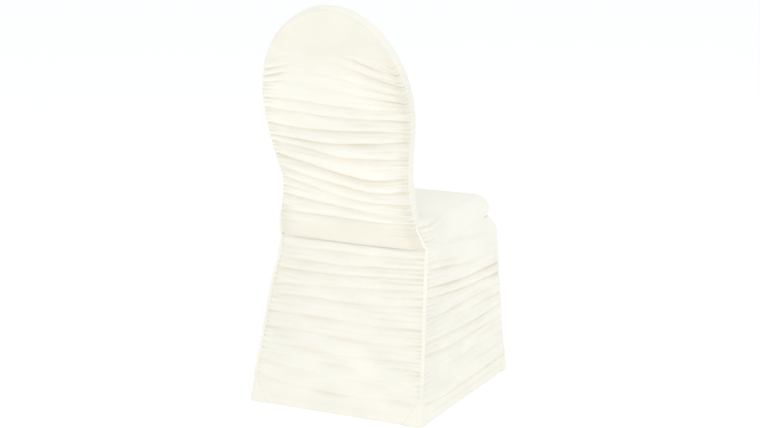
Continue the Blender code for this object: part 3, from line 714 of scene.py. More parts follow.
def back_piece(name, face, rims, lifts, foot_shift):
    """A face of the back with its rims: lifts gives the edge's creases and gathers at each rise."""
    x, z, relief, hollow = face
    rise = lean_rise(z)
    points = [lean_points(x, rise, relief).reshape(-1, 3)]
    flat = [np.stack((x.ravel(), z.ravel()), axis=1)]
    hollows = [hollow.ravel()]
    path = rim_path(*x.shape)
    edge_x, edge_z, edge_rise, edge_hollow = (part.ravel()[path] for part in (x, z, rise, hollow))
    edge_out = rims[0].out
    across, upward = outline_normals(edge_x, edge_rise)
    for rim in rims[1:]:
        base_x, base_rise = edge_x, edge_rise
        if foot_shift:
            drop = smooth(1.0 - edge_rise / WAIST_RISE)
            base_rise = edge_rise + (rim.out - edge_out) * LEAN_TAN * drop
            wider = [half_width(base_rise, way) - half_width(edge_rise, way) for way in (1, -1)]
            base_x = edge_x + np.where(edge_x > 0, wider[0], -wider[1]) * (edge_rise < WAIST_RISE)
        creases, gathers = lifts(base_rise)
        lift = creases * rim.keep + gathers * rim.keep_gathers
        outset = rim.outset + lift * math.sin(rim.angle)
        out = rim.out + lift * math.cos(rim.angle)
        points.append(lean_points(base_x + across * outset, base_rise + upward * outset, out))
        travel = rim.outset + edge_out - rim.out
        flat.append(np.stack((edge_x + across * travel, edge_z + upward * travel), axis=1))
        # Painted shade on the rims: in the gathers, and carried over from the face's edge
        hollows.append(np.maximum(-lift * GATHER_SHADE, edge_hollow * mix(0.5, 1.0, rim.keep)))
    faces = np.concatenate((grid_faces(*x.shape), loop_faces(path, x.size, len(rims) - 1)))
    return add_sheet(
        name, np.concatenate(points), faces, np.concatenate(flat), np.concatenate(hollows),
        lean_points(0.0, WIDEST_RISE, -BACK_DEPTH / 2), "ivory_knit",
    )


def arc(first, last, count):
    """Angles in even steps between two, given in degrees."""
    return [math.radians(mix(first, last, step / (count - 1))) for step in range(count)]


def ruched_grid():
    """The ruched rear of the back: grids of x, height, creases, gathers and hollowness with painted
    shade.
    """
    sizes = settings()[0]
    t = spread(98)
    inset = REAR_ROUND * SEAM_SIN
    band = [height + sizes.band_height / MM for height in BAND_FOOT]
    lines = [flat_line(BAND_FOOT, t), flat_line(band, t, 0.4 * MM)]
    lines += crease_lines(BACK_CREASES, t, 0, BACK_PUFF)
    lines += crown_lines(t, inset, lines[-1][0], 0.45, 1.2 * MM)
    x, z, relief, hollow = back_face(t, lines, inset)
    shares = np.broadcast_to(t, z.shape)
    folded = smooth((z - 0.425) / 0.03) * smooth((0.90 - z) / 0.10)
    gathers = both_gathers(BACK_SEAMS, shares, z, BACK_WIDTH, sizes.gather_depth)
    extra = ripple_relief(BACK_RIPPLES, shares, z)
    extra += sizes.crinkle * waves(x, z, 21, 0.16, 0.013) * mix(0.25, 1.0, folded)
    extra += 0.8 * MM * waves(x, z, 22, 0.20, 0.060) * folded
    turned = smooth((shares - 0.90) / 0.10) + 0.6 * smooth((0.07 - shares) / 0.07)
    extra -= BAND_END_HOLLOW * turned * smooth((0.455 - z) / 0.035)
    calm = crown_calm(lines[-1][0], z)
    near_right = np.clip(1 - (1 - shares) * BACK_WIDTH / 0.020, 0.0, 1.0) * folded
    # Painted shade: the hollowness grows in ripples and gathers, over the plain band and towards
    # the crown, and along the right seam
    plain = smooth((0.440 - z) / 0.015) + 0.75 * smooth((z - 0.76) / 0.08)
    hollow = hollow - extra * RELIEF_SHADE - gathers * GATHER_SHADE + BAND_SHADE * plain
    hollow = np.clip(hollow + SEAM_SHADE * near_right, 0.0, None)
    return x, z, relief + extra * calm, gathers * calm, hollow


def seam_lifts(rows, columns, from_seam):
    """The ruched back's creases and gathers along its seam, for the path of another face's edge."""
    x, z, creases, gathers, _ = ruched_grid()

    def side_lifts(column, rise):
        edge_rise = lean_rise(z[:, column])
        upward = outline_normals(x[:, column], edge_rise)[1]
        seam_rise = np.maximum.accumulate(edge_rise + upward * REAR_ROUND * SEAM_SIN)
        place = rise + outline_normals(np.full_like(rise, x[0, column]), rise)[1] * from_seam
        return [np.interp(place, seam_rise, part[:, column]) for part in (creases, gathers)]

    def lifts(path_rise):
        first, last = side_lifts(0, path_rise[:rows]), side_lifts(-1, path_rise[-rows:])
        crown = np.zeros(columns - 2)
        return [np.concatenate((first[kind], crown, last[kind])) for kind in (0, 1)]

    return lifts


def make_ruched_back():
    """The ruched rear of the back, with its plain band."""
    x, z, creases, gathers, hollow = ruched_grid()
    path = rim_path(*x.shape)
    edge_lifts = creases.ravel()[path], gathers.ravel()[path]
    rims = [Rim(0.0, 0.0, 0.0, 1.0, 1.0)]
    for angle in arc(7, 46, 8):
        share = angle / SEAM_ANGLE
        radius = REAR_ROUND + 0.3 * MM * share * share
        out = radius * math.cos(angle) - REAR_ROUND
        keep = mix(1.0, SEAM_KEEP, min(share, 1.0))
        rims.append(Rim(radius * math.sin(angle), out, angle, keep, 1.0))
    face = (x, z, creases + gathers, hollow)
    piece = back_piece("ruched_back", face, rims, lambda _: edge_lifts, False)
    ride_and_declare(piece, ["back_rear_panel"])


def wrap_rims(inset):
    """Rims from the front of the back round its edge, and in under the ruched rear."""
    rims = [Rim(0.0, -BACK_DEPTH, math.pi, 0.0, 0.0)]
    for angle in arc(15, 90, 7):
        out = -BACK_DEPTH + FRONT_ROUND * (1 - math.cos(angle))
        keep_gathers = WRAP_KEEP * angle / math.pi * 2
        rims.append(Rim(FRONT_ROUND * math.sin(angle), out, math.pi - angle, 0.0, keep_gathers))
    for angle in arc(90, 44, 10):
        outset = inset + REAR_ROUND * (math.sin(angle) - SEAM_SIN)
        out = REAR_ROUND * (math.cos(angle) - 1)
        near = float(smooth((math.pi / 2 - angle) / SEAM_ANGLE))
        rims.append(Rim(outset, out, angle, SEAM_KEEP * near, mix(WRAP_KEEP, 1.0, near)))
    tuck_out = REAR_ROUND * (math.cos(SEAM_ANGLE) - 1) - 2.2 * MM
    for inward, down in ((1.4 * MM, 0.0), (6.0 * MM, 1.0 * MM)):
        rims.append(Rim(inset - inward, tuck_out - down, SEAM_ANGLE, SEAM_KEEP, 1.0))
    return rims


def make_back_front():
    """The front of the back, which wraps the edge and is sewn to the ruched rear."""
    sizes = settings()[0]
    t = spread(52)
    inset = FRONT_ROUND - REAR_ROUND * (1 - SEAM_SIN)
    foot = (SEAT_TOP - BACK_DEPTH * LEAN_SIN) / MM - FRONT_TUCK
    lines = [flat_line((foot,) * 5, t), flat_line((foot + 32,) * 5, t)]
    lines += crease_lines(BACK_FRONT_CREASES, t, 40)
    lines += crown_lines(t, inset, lines[-1][0], 0.4, 0.0)
    x, z, relief, hollow = back_face(t, lines, inset)
    shares = np.broadcast_to(t, z.shape)
    risen = np.clip(lean_rise(z) / (WIDEST_RISE + CROWN_RISE), 0, 1)
    padding = np.sin(math.pi * shares) * np.sin(math.pi * risen)
    extra = sizes.crinkle * 0.7 * waves(x, z, 31, 0.2, 0.03)
    extra += both_gathers(BACK_SEAMS, shares, z, BACK_WIDTH, sizes.gather_depth * 0.3)
    folds = relief + extra * crown_calm(lines[-1][0], z)
    relief = -BACK_DEPTH - BACK_PADDING * np.clip(padding, 0, None) - folds
    piece = back_piece(
        "back_of_cover_front", (x, z, relief, hollow), wrap_rims(inset),
        seam_lifts(*x.shape, inset), True,
    )
    ride_and_declare(piece, ["back_front_panel"])


def skirt_section(z, side):
    """The skirts' outline at each height, on a side: halves, rear and front y, and corner."""
    z = np.maximum(z, UPRIGHT_FOOT)
    rear_half = mix(FLOOR_HALF + FLOOR_TURN * side, SEAT_REAR_HALF, np.clip(z / BAND_FOOT_Z, 0, 1))
    off = np.clip((z - LEFT_PINCH_LEVEL) / LEFT_PINCH_REACH, -1.0, 1.0)
    rear_half = rear_half - np.where(np.asarray(side) > 0, LEFT_PINCH * (1 - off**2) ** 2, 0.0)
    tuck_z = BAND_FOOT_Z - REAR_TUCK
    below = mix(FLOOR_REAR_Y, BAND_FOOT_Y - REAR_TUCK, z / tuck_z)
    above = BAND_FOOT_Y + (z - BAND_FOOT_Z) * LEAN_TAN - HEAD_BEHIND
    rear_y = np.where(z < tuck_z, below, above)
    seam = SEAT_SEAM[-1] * MM
    swell = smooth((seam - z) / (seam - SKIRT_SWELL_LEVEL))
    drop = np.clip(z / SKIRT_SWELL_LEVEL, 0, 1)
    front_half = mix(FLOOR_HALF - FLOOR_TURN * side, SEAT_FRONT_HALF + SKIRT_SWELL * swell, drop)
    front_y = mix(FLOOR_FRONT_Y, SEAT_FRONT_Y - SKIRT_SWELL / 2 * swell, drop)
    corner = mix(FLOOR_CORNER, mix(SEAT_CORNER, SWELL_CORNER, swell), drop)
    return rear_half, front_half, rear_y, front_y, corner


def band_ends(t):
    """How far the ends of the band and of what lies behind it are drawn in, by their share."""
    return smooth((t - 0.88) / 0.10) + 0.6 * smooth((0.09 - t) / 0.08)


def rear_place(t, z):
    """Points and outward directions on the rear skirt, from the left to the right seam."""
    left, right = skirt_section(z, 1), skirt_section(z, -1)
    tuck = smooth((z - BAND_FOOT_Z - 0.004) / 0.004)
    pull = mix(CORNER_PULL, HEAD_PULL, tuck)
    x = mix(left[0] - pull, pull - right[0], t)
    y = left[2] - BAND_END_HOLLOW * band_ends(t) * smooth((z - BAND_FOOT_Z + 0.001) / 0.005)
    point = stacked(x, y, z)
    normal = np.zeros_like(point)
    normal[..., 1] = 1.0
    return point, normal


def bend(out):
    """The angle round a front corner, up to its seam, by the share of the run from its middle."""
    return np.clip((out - STRAIGHT) / (1 - STRAIGHT), 0, 1) * math.pi / 4


def side_place(side, share, z):
    """The same on a side, from its rear seam to the seam at the middle of the front corner."""
    rear_half, front_half, rear_y, front_y, corner = skirt_section(z, side)
    run_share = np.clip(share / STRAIGHT, 0, 1)
    start_x, start_y = rear_half, rear_y - CORNER_PULL
    centre_x, centre_y = front_half - corner, front_y + corner
    run_x, run_y = centre_x + corner - start_x, centre_y - start_y
    length = np.hypot(run_x, run_y)
    round_x, round_y = np.cos(bend(share)), -np.sin(bend(share))
    on_run = share <= STRAIGHT
    normal_x = np.where(on_run, -run_y / length, round_x)
    normal_y = np.where(on_run, run_x / length, round_y)
    x = np.where(on_run, start_x + run_x * run_share, centre_x + corner * round_x)
    y = np.where(on_run, start_y + run_y * run_share, centre_y + corner * round_y)
    return stacked(x * side, y, z), stacked(normal_x * side, normal_y, 0.0 * z)


def front_place(share, z):
    """The same on the front, from the left corner's seam to the right corner's."""
    across = 1 - 2 * share
    side = np.sign(across + 1e-12)
    _, front_half, _, front_y, corner = skirt_section(z, side)
    out = np.abs(across)
    angle = bend(out)
    centre_x, centre_y = front_half - corner, front_y + corner
    on_run = out <= STRAIGHT
    run_x = centre_x * np.clip(out / STRAIGHT, 0, 1)
    x = np.where(on_run, run_x, centre_x + corner * np.sin(angle)) * side
    y = np.where(on_run, front_y, centre_y - corner * np.cos(angle))
    return stacked(x, y, z), stacked(np.sin(angle) * side, -np.cos(angle), 0.0 * z)


def make_skirt(name, node, skirt, columns):
    """A ruched skirt from the floor to its head, with a plain hem."""
    sizes = settings()[0]
    t = spread(columns)
    hem_top = [height * HEM_SHARE for height in skirt.creases[0].heights]
    lines = [flat_line((0.0,) * 5, t), flat_line((4.0,) * 5, t), flat_line(hem_top, t)]
    lines += crease_lines(skirt.creases, t, skirt.seed)
    lines.append(flat_line([height - 0.5 for height in skirt.head], t))
    lines.append(flat_line([height + 5.5 for height in skirt.head], t, -2.0 * MM))
    z, relief, hollow = folded_rows(lines, t)
    shares = np.broadcast_to(t, z.shape)
    across = shares * skirt.width
    head = through(skirt.head, t)[None, :] * MM
    folded = smooth((z - through(hem_top, t)[None, :] * MM) / 0.012) * smooth((head - z) / 0.015)
    extra = ripple_relief(skirt.ripples, shares, z)
    extra += sizes.crinkle * waves(across, z, skirt.seed + 50, 0.16, 0.013)
    extra += 0.9 * MM * waves(across, z, skirt.seed + 51, 0.22, 0.055)
    extra *= folded
    gathers = both_gathers(skirt.seams, shares, z, skirt.width, sizes.gather_depth) * folded
    # Painted shade: the hollowness grows in ripples and gathers
    hollow = np.clip(hollow - extra * RELIEF_SHADE - gathers * GATHER_SHADE, 0.0, None)
    start, end = skirt.ends
    fade = mix(start, 1.0, smooth(shares / SEAM_FADE))
    fade = fade * mix(end, 1.0, smooth((1 - shares) / SEAM_FADE))
    point, normal = skirt.place(shares, np.maximum(z, 0.0))
    from_notch = (z - head + skirt.notch_below * MM) / NOTCH_HEIGHT
    notch = skirt.notch(shares) * np.exp(-(from_notch**2))
    lift = (relief + extra) * fade + gathers - NOTCH_DEPTH * notch
    points = point + normal * lift[..., None]
    at_pocket = (z < POCKET_LIFT) & ((shares < skirt.lifted[0]) | (1 - shares < skirt.lifted[1]))
    points[..., 2] = np.where(at_pocket, POCKET_LIFT, points[..., 2])
    # The notch below the head gets painted shade as well
    piece = add_sheet(
        name, points.reshape(-1, 3), grid_faces(*z.shape), stacked(across, z).reshape(-1, 2),
        (hollow + NOTCH_SHADE * notch).ravel(), (0.0, 0.0, 0.2), "ivory_knit",
    )
    ride_and_declare(piece, [node])


def make_skirts():
    """The rear skirt, the two sides and the front."""
    rear = Skirt(
        REAR_SKIRT_CREASES, REAR_SKIRT_RIPPLES, head=(396.5,) * 5, width=0.40, place=rear_place,
        seams=("corner_left", "corner_right"), ends=(0.35, 0.35), lifted=(0.10, 0.10), seed=60,
        notch=lambda share: 0.5 + 0.0 * share, notch_below=11,
    )
    make_skirt("rear_skirt_cloth", "skirt_rear", rear, 96)
    for name, side in SIDES:
        skirt = Skirt(
            SIDE_SKIRT_CREASES, SIDE_SKIRT_RIPPLES, head=SEAT_SEAM, width=0.42,
            place=partial(side_place, side), seams=("corner_" + name, "front"), ends=(0.35, 0.2),
            lifted=(0.09, 0.12), seed=70, notch=lambda share: smooth((share - 0.86) / 0.08),
            notch_below=2,
        )
        make_skirt(name + "_skirt_cloth", "skirt_" + name, skirt, 98)
    front = Skirt(
        FRONT_SKIRT_CREASES, FRONT_SKIRT_RIPPLES, head=(SEAT_SEAM[-1],) * 5, width=0.42,
        place=front_place, seams=("front", "front"), ends=(0.2, 0.2), lifted=(0.097, 0.097),
        seed=80, notch=lambda share: smooth((np.abs(2 * share - 1) - 0.90) / 0.08), notch_below=2,
    )
    make_skirt("front_skirt_cloth", "skirt_front", front, 76)


def seat_rim(side, share):
    """A side of the seat's edge: places, outward directions, radii, bulges and seam heights."""
    seam = through(SEAT_SEAM, share) * MM
    place, normal = side_place(side, share, seam)
    rear_radius = SEAT_ROUND_REAR_LEFT if side > 0 else SEAT_ROUND_REAR_RIGHT
    radius = mix(rear_radius, SEAT_ROUND_FRONT, smooth(share * 1.6))
    return place, normal, radius, CUSHION_BULGE * smooth(share), seam


def seat_edge():
    """What seat_rim gives, from the rear left of the seat round its front to the rear right."""
    rear_y, front_y = (
        float(side_place(1, np.array(share), np.array(height * MM))[0][1])
        for share, height in ((0.0, SEAT_SEAM[0]), (STRAIGHT, SEAT_SEAM[-1]))
    )
    first = STRAIGHT * (rear_y - SEAT_REAR_Y) / (rear_y - front_y)
    shares = mix(first, 1.0, np.linspace(0, 1, SEAT_ROWS))
    across = np.linspace(0, 1, SEAT_COLUMNS)[1:-1]
    seam = np.full_like(across, SEAT_SEAM[-1] * MM)
    bulge = CUSHION_BULGE * mix(0.5, 1.0, smooth(np.abs(1 - 2 * across)))
    front = (*front_place(across, seam), np.full_like(across, SEAT_ROUND_FRONT), bulge, seam)
    right = (part[::-1] for part in seat_rim(-1, shares))
    return [np.concatenate(part) for part in zip(seat_rim(1, shares), front, right)]


def seat_top(edge):
    """A grid of points over the seat, inside its edge and rounded up to its middle."""
    start, end = edge[:SEAT_ROWS], edge[::-1][:SEAT_ROWS]
    last = edge[SEAT_ROWS - 1 : SEAT_ROWS - 1 + SEAT_COLUMNS]
    t = (last[0, 0] - last[:, 0]) / (last[0, 0] - last[-1, 0])
    progress = np.linspace(0, 1, SEAT_ROWS)
    top = start[:, None, :] + (end - start)[:, None, :] * t[None, :, None]
    top[..., 1] += (last[:, 1] - last[0, 1])[None, :] * progress[:, None] ** 4
    swell = np.sin(math.pi * t)[None, :] * np.sin(math.pi * progress)[:, None]
    top[..., 2] += SEAT_CROWN * np.clip(swell, 0, None) ** 0.7
    return top


def seat_loops(place, normal, radius, bulge, seam):
    """Loops of points round the seat's rounded edge and down its sides."""
    loops = []
    for angle in np.radians(np.linspace(5, 90, 18)):
        loop = place + normal * (bulge - radius * (1 - math.sin(angle)))[:, None]
        loop[:, 2] = SEAT_TOP - radius * (1 - math.cos(angle))
        loops.append(loop)
    for fall in np.linspace(0.05, 1.0, 24):
        loop = place + normal * (bulge * smooth((1 - fall) / 0.9) + 0.4 * MM * fall)[:, None]
        loop[:, 2] = mix(SEAT_TOP - radius, seam - SEAT_LAP, fall)
        loops.append(loop)
    return loops


def beside_binding(point, side, inward):
    """Where a point of the seat's rear edge is carried to, at the rear corner's binding."""
    corner = corner_line(min(point[2], BINDING_HEAD_Z), side)
    inward += 4 * MM * float(smooth((point[2] - 0.438) / 0.010)) - MM
    reach = binding_radius(point[2]) * 0.6
    return corner[0] - side * inward, corner[1] - reach, point[2]


def carry_back(points, faces, edges, side):
    """Adds strips of cloth from the seat's rear edge back to the binding on that side."""
    begin = points[edges]
    inwards = SEAT_OVER_STEP * np.maximum(SEAT_OVER - np.arange(len(edges)), 0)
    target = np.array(
        [beside_binding(point, side, inward) for point, inward in zip(begin, inwards)]
    )
    for share in (0.2, 0.4, 0.6, 0.8, 1.0):
        new = len(points) + np.arange(len(edges))
        points = np.concatenate((points, mix(begin, target, share)))
        quads = np.stack((edges[:-1], edges[1:], new[1:], new[:-1]), axis=1)
        faces.append(quads if side > 0 else quads[:, ::-1])
        edges = new
    return points


def make_seat():
    """The seat's top, its rounded edge and its sides, carried back beside the back's foot."""
    place, normal, radius, bulge, seam = seat_edge()
    edge = place - normal * (radius - bulge)[:, None]
    edge[:, 2] = SEAT_TOP
    loops = seat_loops(place, normal, radius, bulge, seam)
    points = np.concatenate((seat_top(edge).reshape(-1, 3), *loops))
    grid = SEAT_ROWS * SEAT_COLUMNS
    path = rim_path(SEAT_ROWS, SEAT_COLUMNS)
    faces = [grid_faces(SEAT_ROWS, SEAT_COLUMNS), loop_faces(path, grid, len(loops))]
    for side, end in ((1, 0), (-1, len(path) - 1)):
        over = path[end] + side * np.arange(SEAT_OVER, 0, -1)
        down = grid + np.arange(len(loops)) * len(path) + end
        points = carry_back(points, faces, np.concatenate((over, [path[end]], down)), side)
    points, hollow = soft_folds(points)
    uv = points[:, :2] + np.stack((np.zeros(len(points)), points[:, 2]), axis=1)
    piece = add_sheet(
        "seat_cloth", points, np.concatenate(faces), uv, hollow, (0.0, 0.0, 0.3), "ivory_knit"
    )
    ride_and_declare(piece, ["seat_panel"])


def soft_folds(points):
    """Gathers from the seat's rear seams with painted shade in them, and soft folds that fan out
    over its sides.
    """
    moved = points.copy()
    hollow = np.zeros(len(points))
    forward = FAN_Y - points[:, 1]
    upward = points[:, 2] - FAN_Z
    angle = np.arctan2(upward, np.maximum(forward, MM))
    distance = np.hypot(forward, upward)
    far = smooth(distance / 0.05) * smooth((0.36 - distance) / 0.25)
    above_seam = smooth((points[:, 2] - 0.388) / 0.010)
    for side in (1, -1):
        on_side = smooth((side * points[:, 0] - 0.160) / 0.02)
        lift = 0.9 * MM * np.sin(angle * 23 + side) * far
        for gather in gathers_of("seat"):
            off = (points[:, 2] - gather.z - 0.12 * forward) / (1.3 * gather.width)
            fade = np.clip(1.0 - (forward - 0.01) / gather.reach, 0.0, 1.0) ** 1.2
            sunk = 3.2 * MM * gather.depth * np.exp(-off * off) * fade * above_seam
            lift -= sunk
            # Painted shade in the gathers on the seat's sides
            hollow += sunk * GATHER_SHADE * on_side
        moved[:, 0] += side * lift * on_side
        moved[:, 2] += 0.6 * lift * on_side * smooth((points[:, 2] - 0.43) / 0.02)
    return moved, hollow


def foot_tuck(z):
    """How far a binding has narrowed and moved in behind the patch at its foot."""
    return smooth((BINDING_TUCK_Z - z) / 0.006)


def binding_radius(z):
    """The radius of a binding at a height, before its gathers."""
    radius = settings()[0].binding_radius
    radius = mix(radius, BINDING_TOP_ROUND, smooth((z - BAND_FOOT_Z + 0.008) / 0.010))
    return mix(radius, BINDING_FOOT_ROUND, foot_tuck(z))


def corner_line(z, side):
    """The middle of a rear corner's binding at a height."""
    rear_half, _, rear_y, _, _ = skirt_section(np.array(z), side)
    depth = MM + 1.6 * MM * float(foot_tuck(z))
    below = np.array(((float(rear_half) - depth) * side, float(rear_y) - depth, z))
    reach = (BINDING_TOP + 0.6 * MM) * SEAM_SIN
    out = -REAR_ROUND * (1 - math.cos(SEAM_ANGLE)) - reach
    level = np.array(lean_rise(z) + out * LEAN_TAN)
    across, upward = outline_normals(half_width(level, side) * side, level)
    rise = level - upward * reach
    x = half_width(rise, side) * side + across * reach
    above = lean_points(float(x), float(rise), out)
    return mix(below, above, float(smooth((z - BAND_FOOT_Z + 0.003) / 0.009)))


def binding_point(unit, side, gathers):
    """A point of a rear corner's binding, from one on a cylinder of radius and height 1."""
    share = unit.z + 0.5
    turn = math.atan2(unit.y, unit.x)
    z = mix(BINDING_FOOT_Z - 1.0 * MM, BINDING_HEAD_Z, share)
    slant = z + 0.9 * MM * math.sin(turn * 2 + z * 90)
    pinch = sum(
        gather.depth * math.exp(-(((slant - gather.z) / (gather.width * 0.75)) ** 2))
        for gather in gathers
        if abs(slant - gather.z) < 4 * gather.width
    )
    twist = 0.04 * math.sin(turn * 3 + z * 160) + 0.03 * math.sin(z * 700 + turn)
    closed = min(1.0, share * 200 + 0.5, (1 - share) * 40 + 0.3)
    ridges = 1.04 - 0.30 * pinch + twist
    radius = float(binding_radius(z)) * ridges * math.hypot(unit.x, unit.y) * closed
    centre = corner_line(z, side)
    return centre[0] + radius * math.cos(turn), centre[1] + radius * math.sin(turn), z


def make_corner_gathers():
    """The gathered bindings: a tube with a ridge at each gather of the seam."""
    for name, side in SIDES:
        bpy.ops.object.select_all(action="DESELECT")
        bpy.ops.mesh.primitive_cylinder_add(
            vertices=22, radius=1.0, depth=1.0, end_fill_type="TRIFAN"
        )
        piece = bpy.context.object
        piece.name = "corner_gathers_" + name
        bpy.ops.object.mode_set(mode="EDIT")
        for _ in range(2):
            shell = bmesh.from_edit_mesh(piece.data)
            for edge in shell.edges:
                low, high = (vert.co.z for vert in edge.verts)
                edge.select = abs(low - high) > 1e-4
            bmesh.update_edit_mesh(piece.data)
            bpy.ops.mesh.subdivide(number_cuts=19)
        bpy.ops.object.mode_set(mode="OBJECT")
        gathers = gathers_of("corner_" + name)
        for vert in piece.data.vertices:
            vert.co = binding_point(vert.co, side, gathers)
        piece.data.materials.append(knit_material("binding_knit"))
        piece.data.shade_smooth()
        ride_and_declare(piece, ["corner_seam_rear_" + name])


def pocket_row(runs, radius, side, front, heights, offs):
    """A row around a corner: runs are distances from it and angles, on the way from x to y."""
    facing = -1.0 if front else 1.0
    row = []
    for (distance, angle), z, off in zip(runs, heights, offs):
        section = skirt_section(np.array(z), side)
        rear_half, front_half, rear_y, front_y, _ = (float(value) for value in section)
        corner_x, corner_y = (front_half, front_y) if front else (rear_half, rear_y)
        slant = (front_half - rear_half) / (rear_y - front_y)
        if distance <= radius:
            x = corner_x - radius + (radius + off) * math.sin(angle)
            y = radius - (radius + off) * math.cos(angle)
        elif angle == 0.0:
            x, y = corner_x - distance, -off
        else:
            x, y = corner_x + off + (distance - radius) * slant * facing, distance
        row.append((x * side, corner_y - facing * y, z))
    return row


def pocket_levels(talls):
    """Heights along a patch, how proud it stands and how far it turns in, from its top down."""
    for below, proud in POCKET_LIP:
        yield [max(tall - below * MM, UPRIGHT_FOOT) for tall in talls], proud * MM, 0.0
    lips = [max(tall - 5 * MM, UPRIGHT_FOOT) for tall in talls]
    for level in (0.85, 0.65, 0.45, 0.25, 0.1, 0.0):
        yield [mix(UPRIGHT_FOOT, lip, level) for lip in lips], POCKET_PROUD, 0.0
    for z, inward in POCKET_TURN:
        yield [z * MM] * len(talls), POCKET_PROUD, inward * MM


def pocket_points(side, front):
    """Rows of points of a corner patch: its face, its turned foot and its sole."""
    radius = FLOOR_CORNER if front else POCKET_ROUND
    ends = [mix(POCKET_REACH, radius, step / 9) for step in range(9)]
    turn = [step * math.pi / 2 / 10 for step in range(11)]
    runs = [(distance, 0.0) for distance in ends] + [(radius, angle) for angle in turn]
    runs += [(distance, math.pi / 2) for distance in reversed(ends)]
    talls, pressed = [], []
    for distance, angle in runs:
        out = (distance - radius) / (POCKET_REACH - radius)
        peak = 1.0 - 0.10 * math.sin(2 * angle) if distance <= radius and front else 1.0
        talls.append(mix(POCKET_TALL * peak, POCKET_END_TALL, out**0.92))
        pressed.append(1.7 * MM * float(smooth((out - 0.35) / 0.65)))
    rows = []
    for heights, proud, inward in pocket_levels(talls):
        offs = [proud - press - inward for press in pressed]
        rows.append(np.array(pocket_row(runs, radius, side, front, heights, offs)))
    floor = rows[-1]
    first = floor[0] - np.array((0.0, -POCKET_SOLE if front else POCKET_SOLE, 0.0))
    last = floor[-1] - np.array((side * POCKET_SOLE, 0.0, 0.0))
    count = len(runs) - 1
    target = np.array([mix(first, last, index / count) for index in range(count + 1)])
    rows += [mix(floor, target, share) for share in (0.5, 1.0)]
    return np.array(rows)


def make_foot_pockets():
    """The corner patches with their soles."""
    for corner, front in (("rear", False), ("front", True)):
        for name, side in SIDES:
            points = pocket_points(side, front)
            rows, columns, _ = points.shape
            flat = np.stack((points[..., 0] + points[..., 1], points[..., 2]), axis=-1)
            piece = add_sheet(
                f"corner_patch_{corner}_{name}", points.reshape(-1, 3), grid_faces(rows, columns),
                flat.reshape(-1, 2), np.zeros(rows * columns), (0.0, 0.0, 0.2), "pocket_knit",
            )
            ride_and_declare(piece, [f"foot_pocket_{corner}_{name}"])


def stitch_row(path, normals, length, gap):
    """Rounded stitches laid along a path of points, as one mesh's points and faces."""
    steps = np.linalg.norm(np.diff(path, axis=0), axis=1)
    travelled = np.concatenate(([0.0], np.cumsum(steps)))

    def read(values, distance):
        return np.array([np.interp(distance, travelled, column) for column in values.T])

    points, faces = [], []
    at = gap
    while at + length < travelled[-1]:
        centre = read(path, at + length / 2)
        ahead = read(path, at + length)
        forward = (ahead - centre) / np.linalg.norm(ahead - centre)
        normal = read(normals, at)
        normal -= forward * normal.dot(forward)
        normal /= np.linalg.norm(normal)
        across = np.cross(forward, normal)
        base = len(points)
        for along, fat in STITCH_RINGS:
            for corner in range(6):
                turn = corner * math.pi / 3
                upward = math.sin(turn) * 0.8 + 0.35 * fat
                offset = across * math.cos(turn) * 1.15 + normal * upward
                points.append(centre + forward * along * length + offset * THREAD_RADIUS * fat)
        last = base + (len(STITCH_RINGS) - 1) * 6
        for ring in range(base, last, 6):
            for corner in range(6):
                a, b = ring + corner, ring + (corner + 1) % 6
                faces.append((a, b, b + 6, a + 6))
        faces.append(tuple(base + corner for corner in range(5, -1, -1)))
        faces.append(tuple(last + corner for corner in range(6)))
        at += length + gap
    return points, faces


def add_stitches(name, rows):
    """Joins rows of stitches into one piece."""
    points, faces = [], []
    for row_points, row_faces in rows:
        base = len(points)
        points.extend(row_points)
        faces.extend(tuple(index + base for index in face) for face in row_faces)
    mesh = bpy.data.meshes.new(name)
    mesh.from_pydata([tuple(point) for point in points], [], faces)
    mesh.materials.append(thread_material())
    mesh.shade_smooth()
    piece = bpy.data.objects.new(name, mesh)
    bpy.context.collection.objects.link(piece)
    shell = bmesh.new()
    shell.from_mesh(mesh)
    bmesh.ops.recalc_face_normals(shell, faces=shell.faces)
    shell.to_mesh(mesh)
    shell.free()
    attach(piece, "root")
    return piece


def make_stitching():
    """Two rows of stitches round the hem, and one along the band's lower edge."""
    length = settings()[0].stitch
    gap = length * 0.35
    share = np.linspace(0.10, 0.90, 120)
    rows = []
    for place in (rear_place, partial(side_place, 1), partial(side_place, -1), front_place):
        for height in HEM_STITCHES:
            points, normals = place(share, np.full_like(share, height))
            rows.append(stitch_row(points + normals * 0.1 * MM, normals, length, gap))
    add_stitches("hem_stitches", rows)
    t = np.linspace(0.02, 0.98, 100)
    rise = lean_rise(through(BAND_FOOT, t) * MM + 4.5 * MM)
    left, right = (half_width(rise, side, REAR_ROUND * SEAM_SIN) for side in (1, -1))
    path = lean_points(left + (-right - left) * t, rise, 0.15 * MM)
    normals = np.tile((0.0, LEAN_COS, -LEAN_SIN), (len(t), 1))
    add_stitches("band_stitches", [stitch_row(path, normals, length, gap)])


def add_node(tree, kind, values=None, **fields):
    """A node of a kind, with its own fields and the constants of its sockets."""
    node = tree.nodes.new(kind)
    for name, value in fields.items():
        setattr(node, name, value)
    return set_values(node, values or {})


def set_values(node, values):
    """Sets the constants of a node's sockets."""
    for socket, value in values.items():
        node.inputs[socket].default_value = value
    return node


def connect(tree, *links):
    """Makes links: each is a node and its output, then a node and its input."""
    for start, output, end, into in links:
        tree.links.new(start.outputs[output], end.inputs[into])


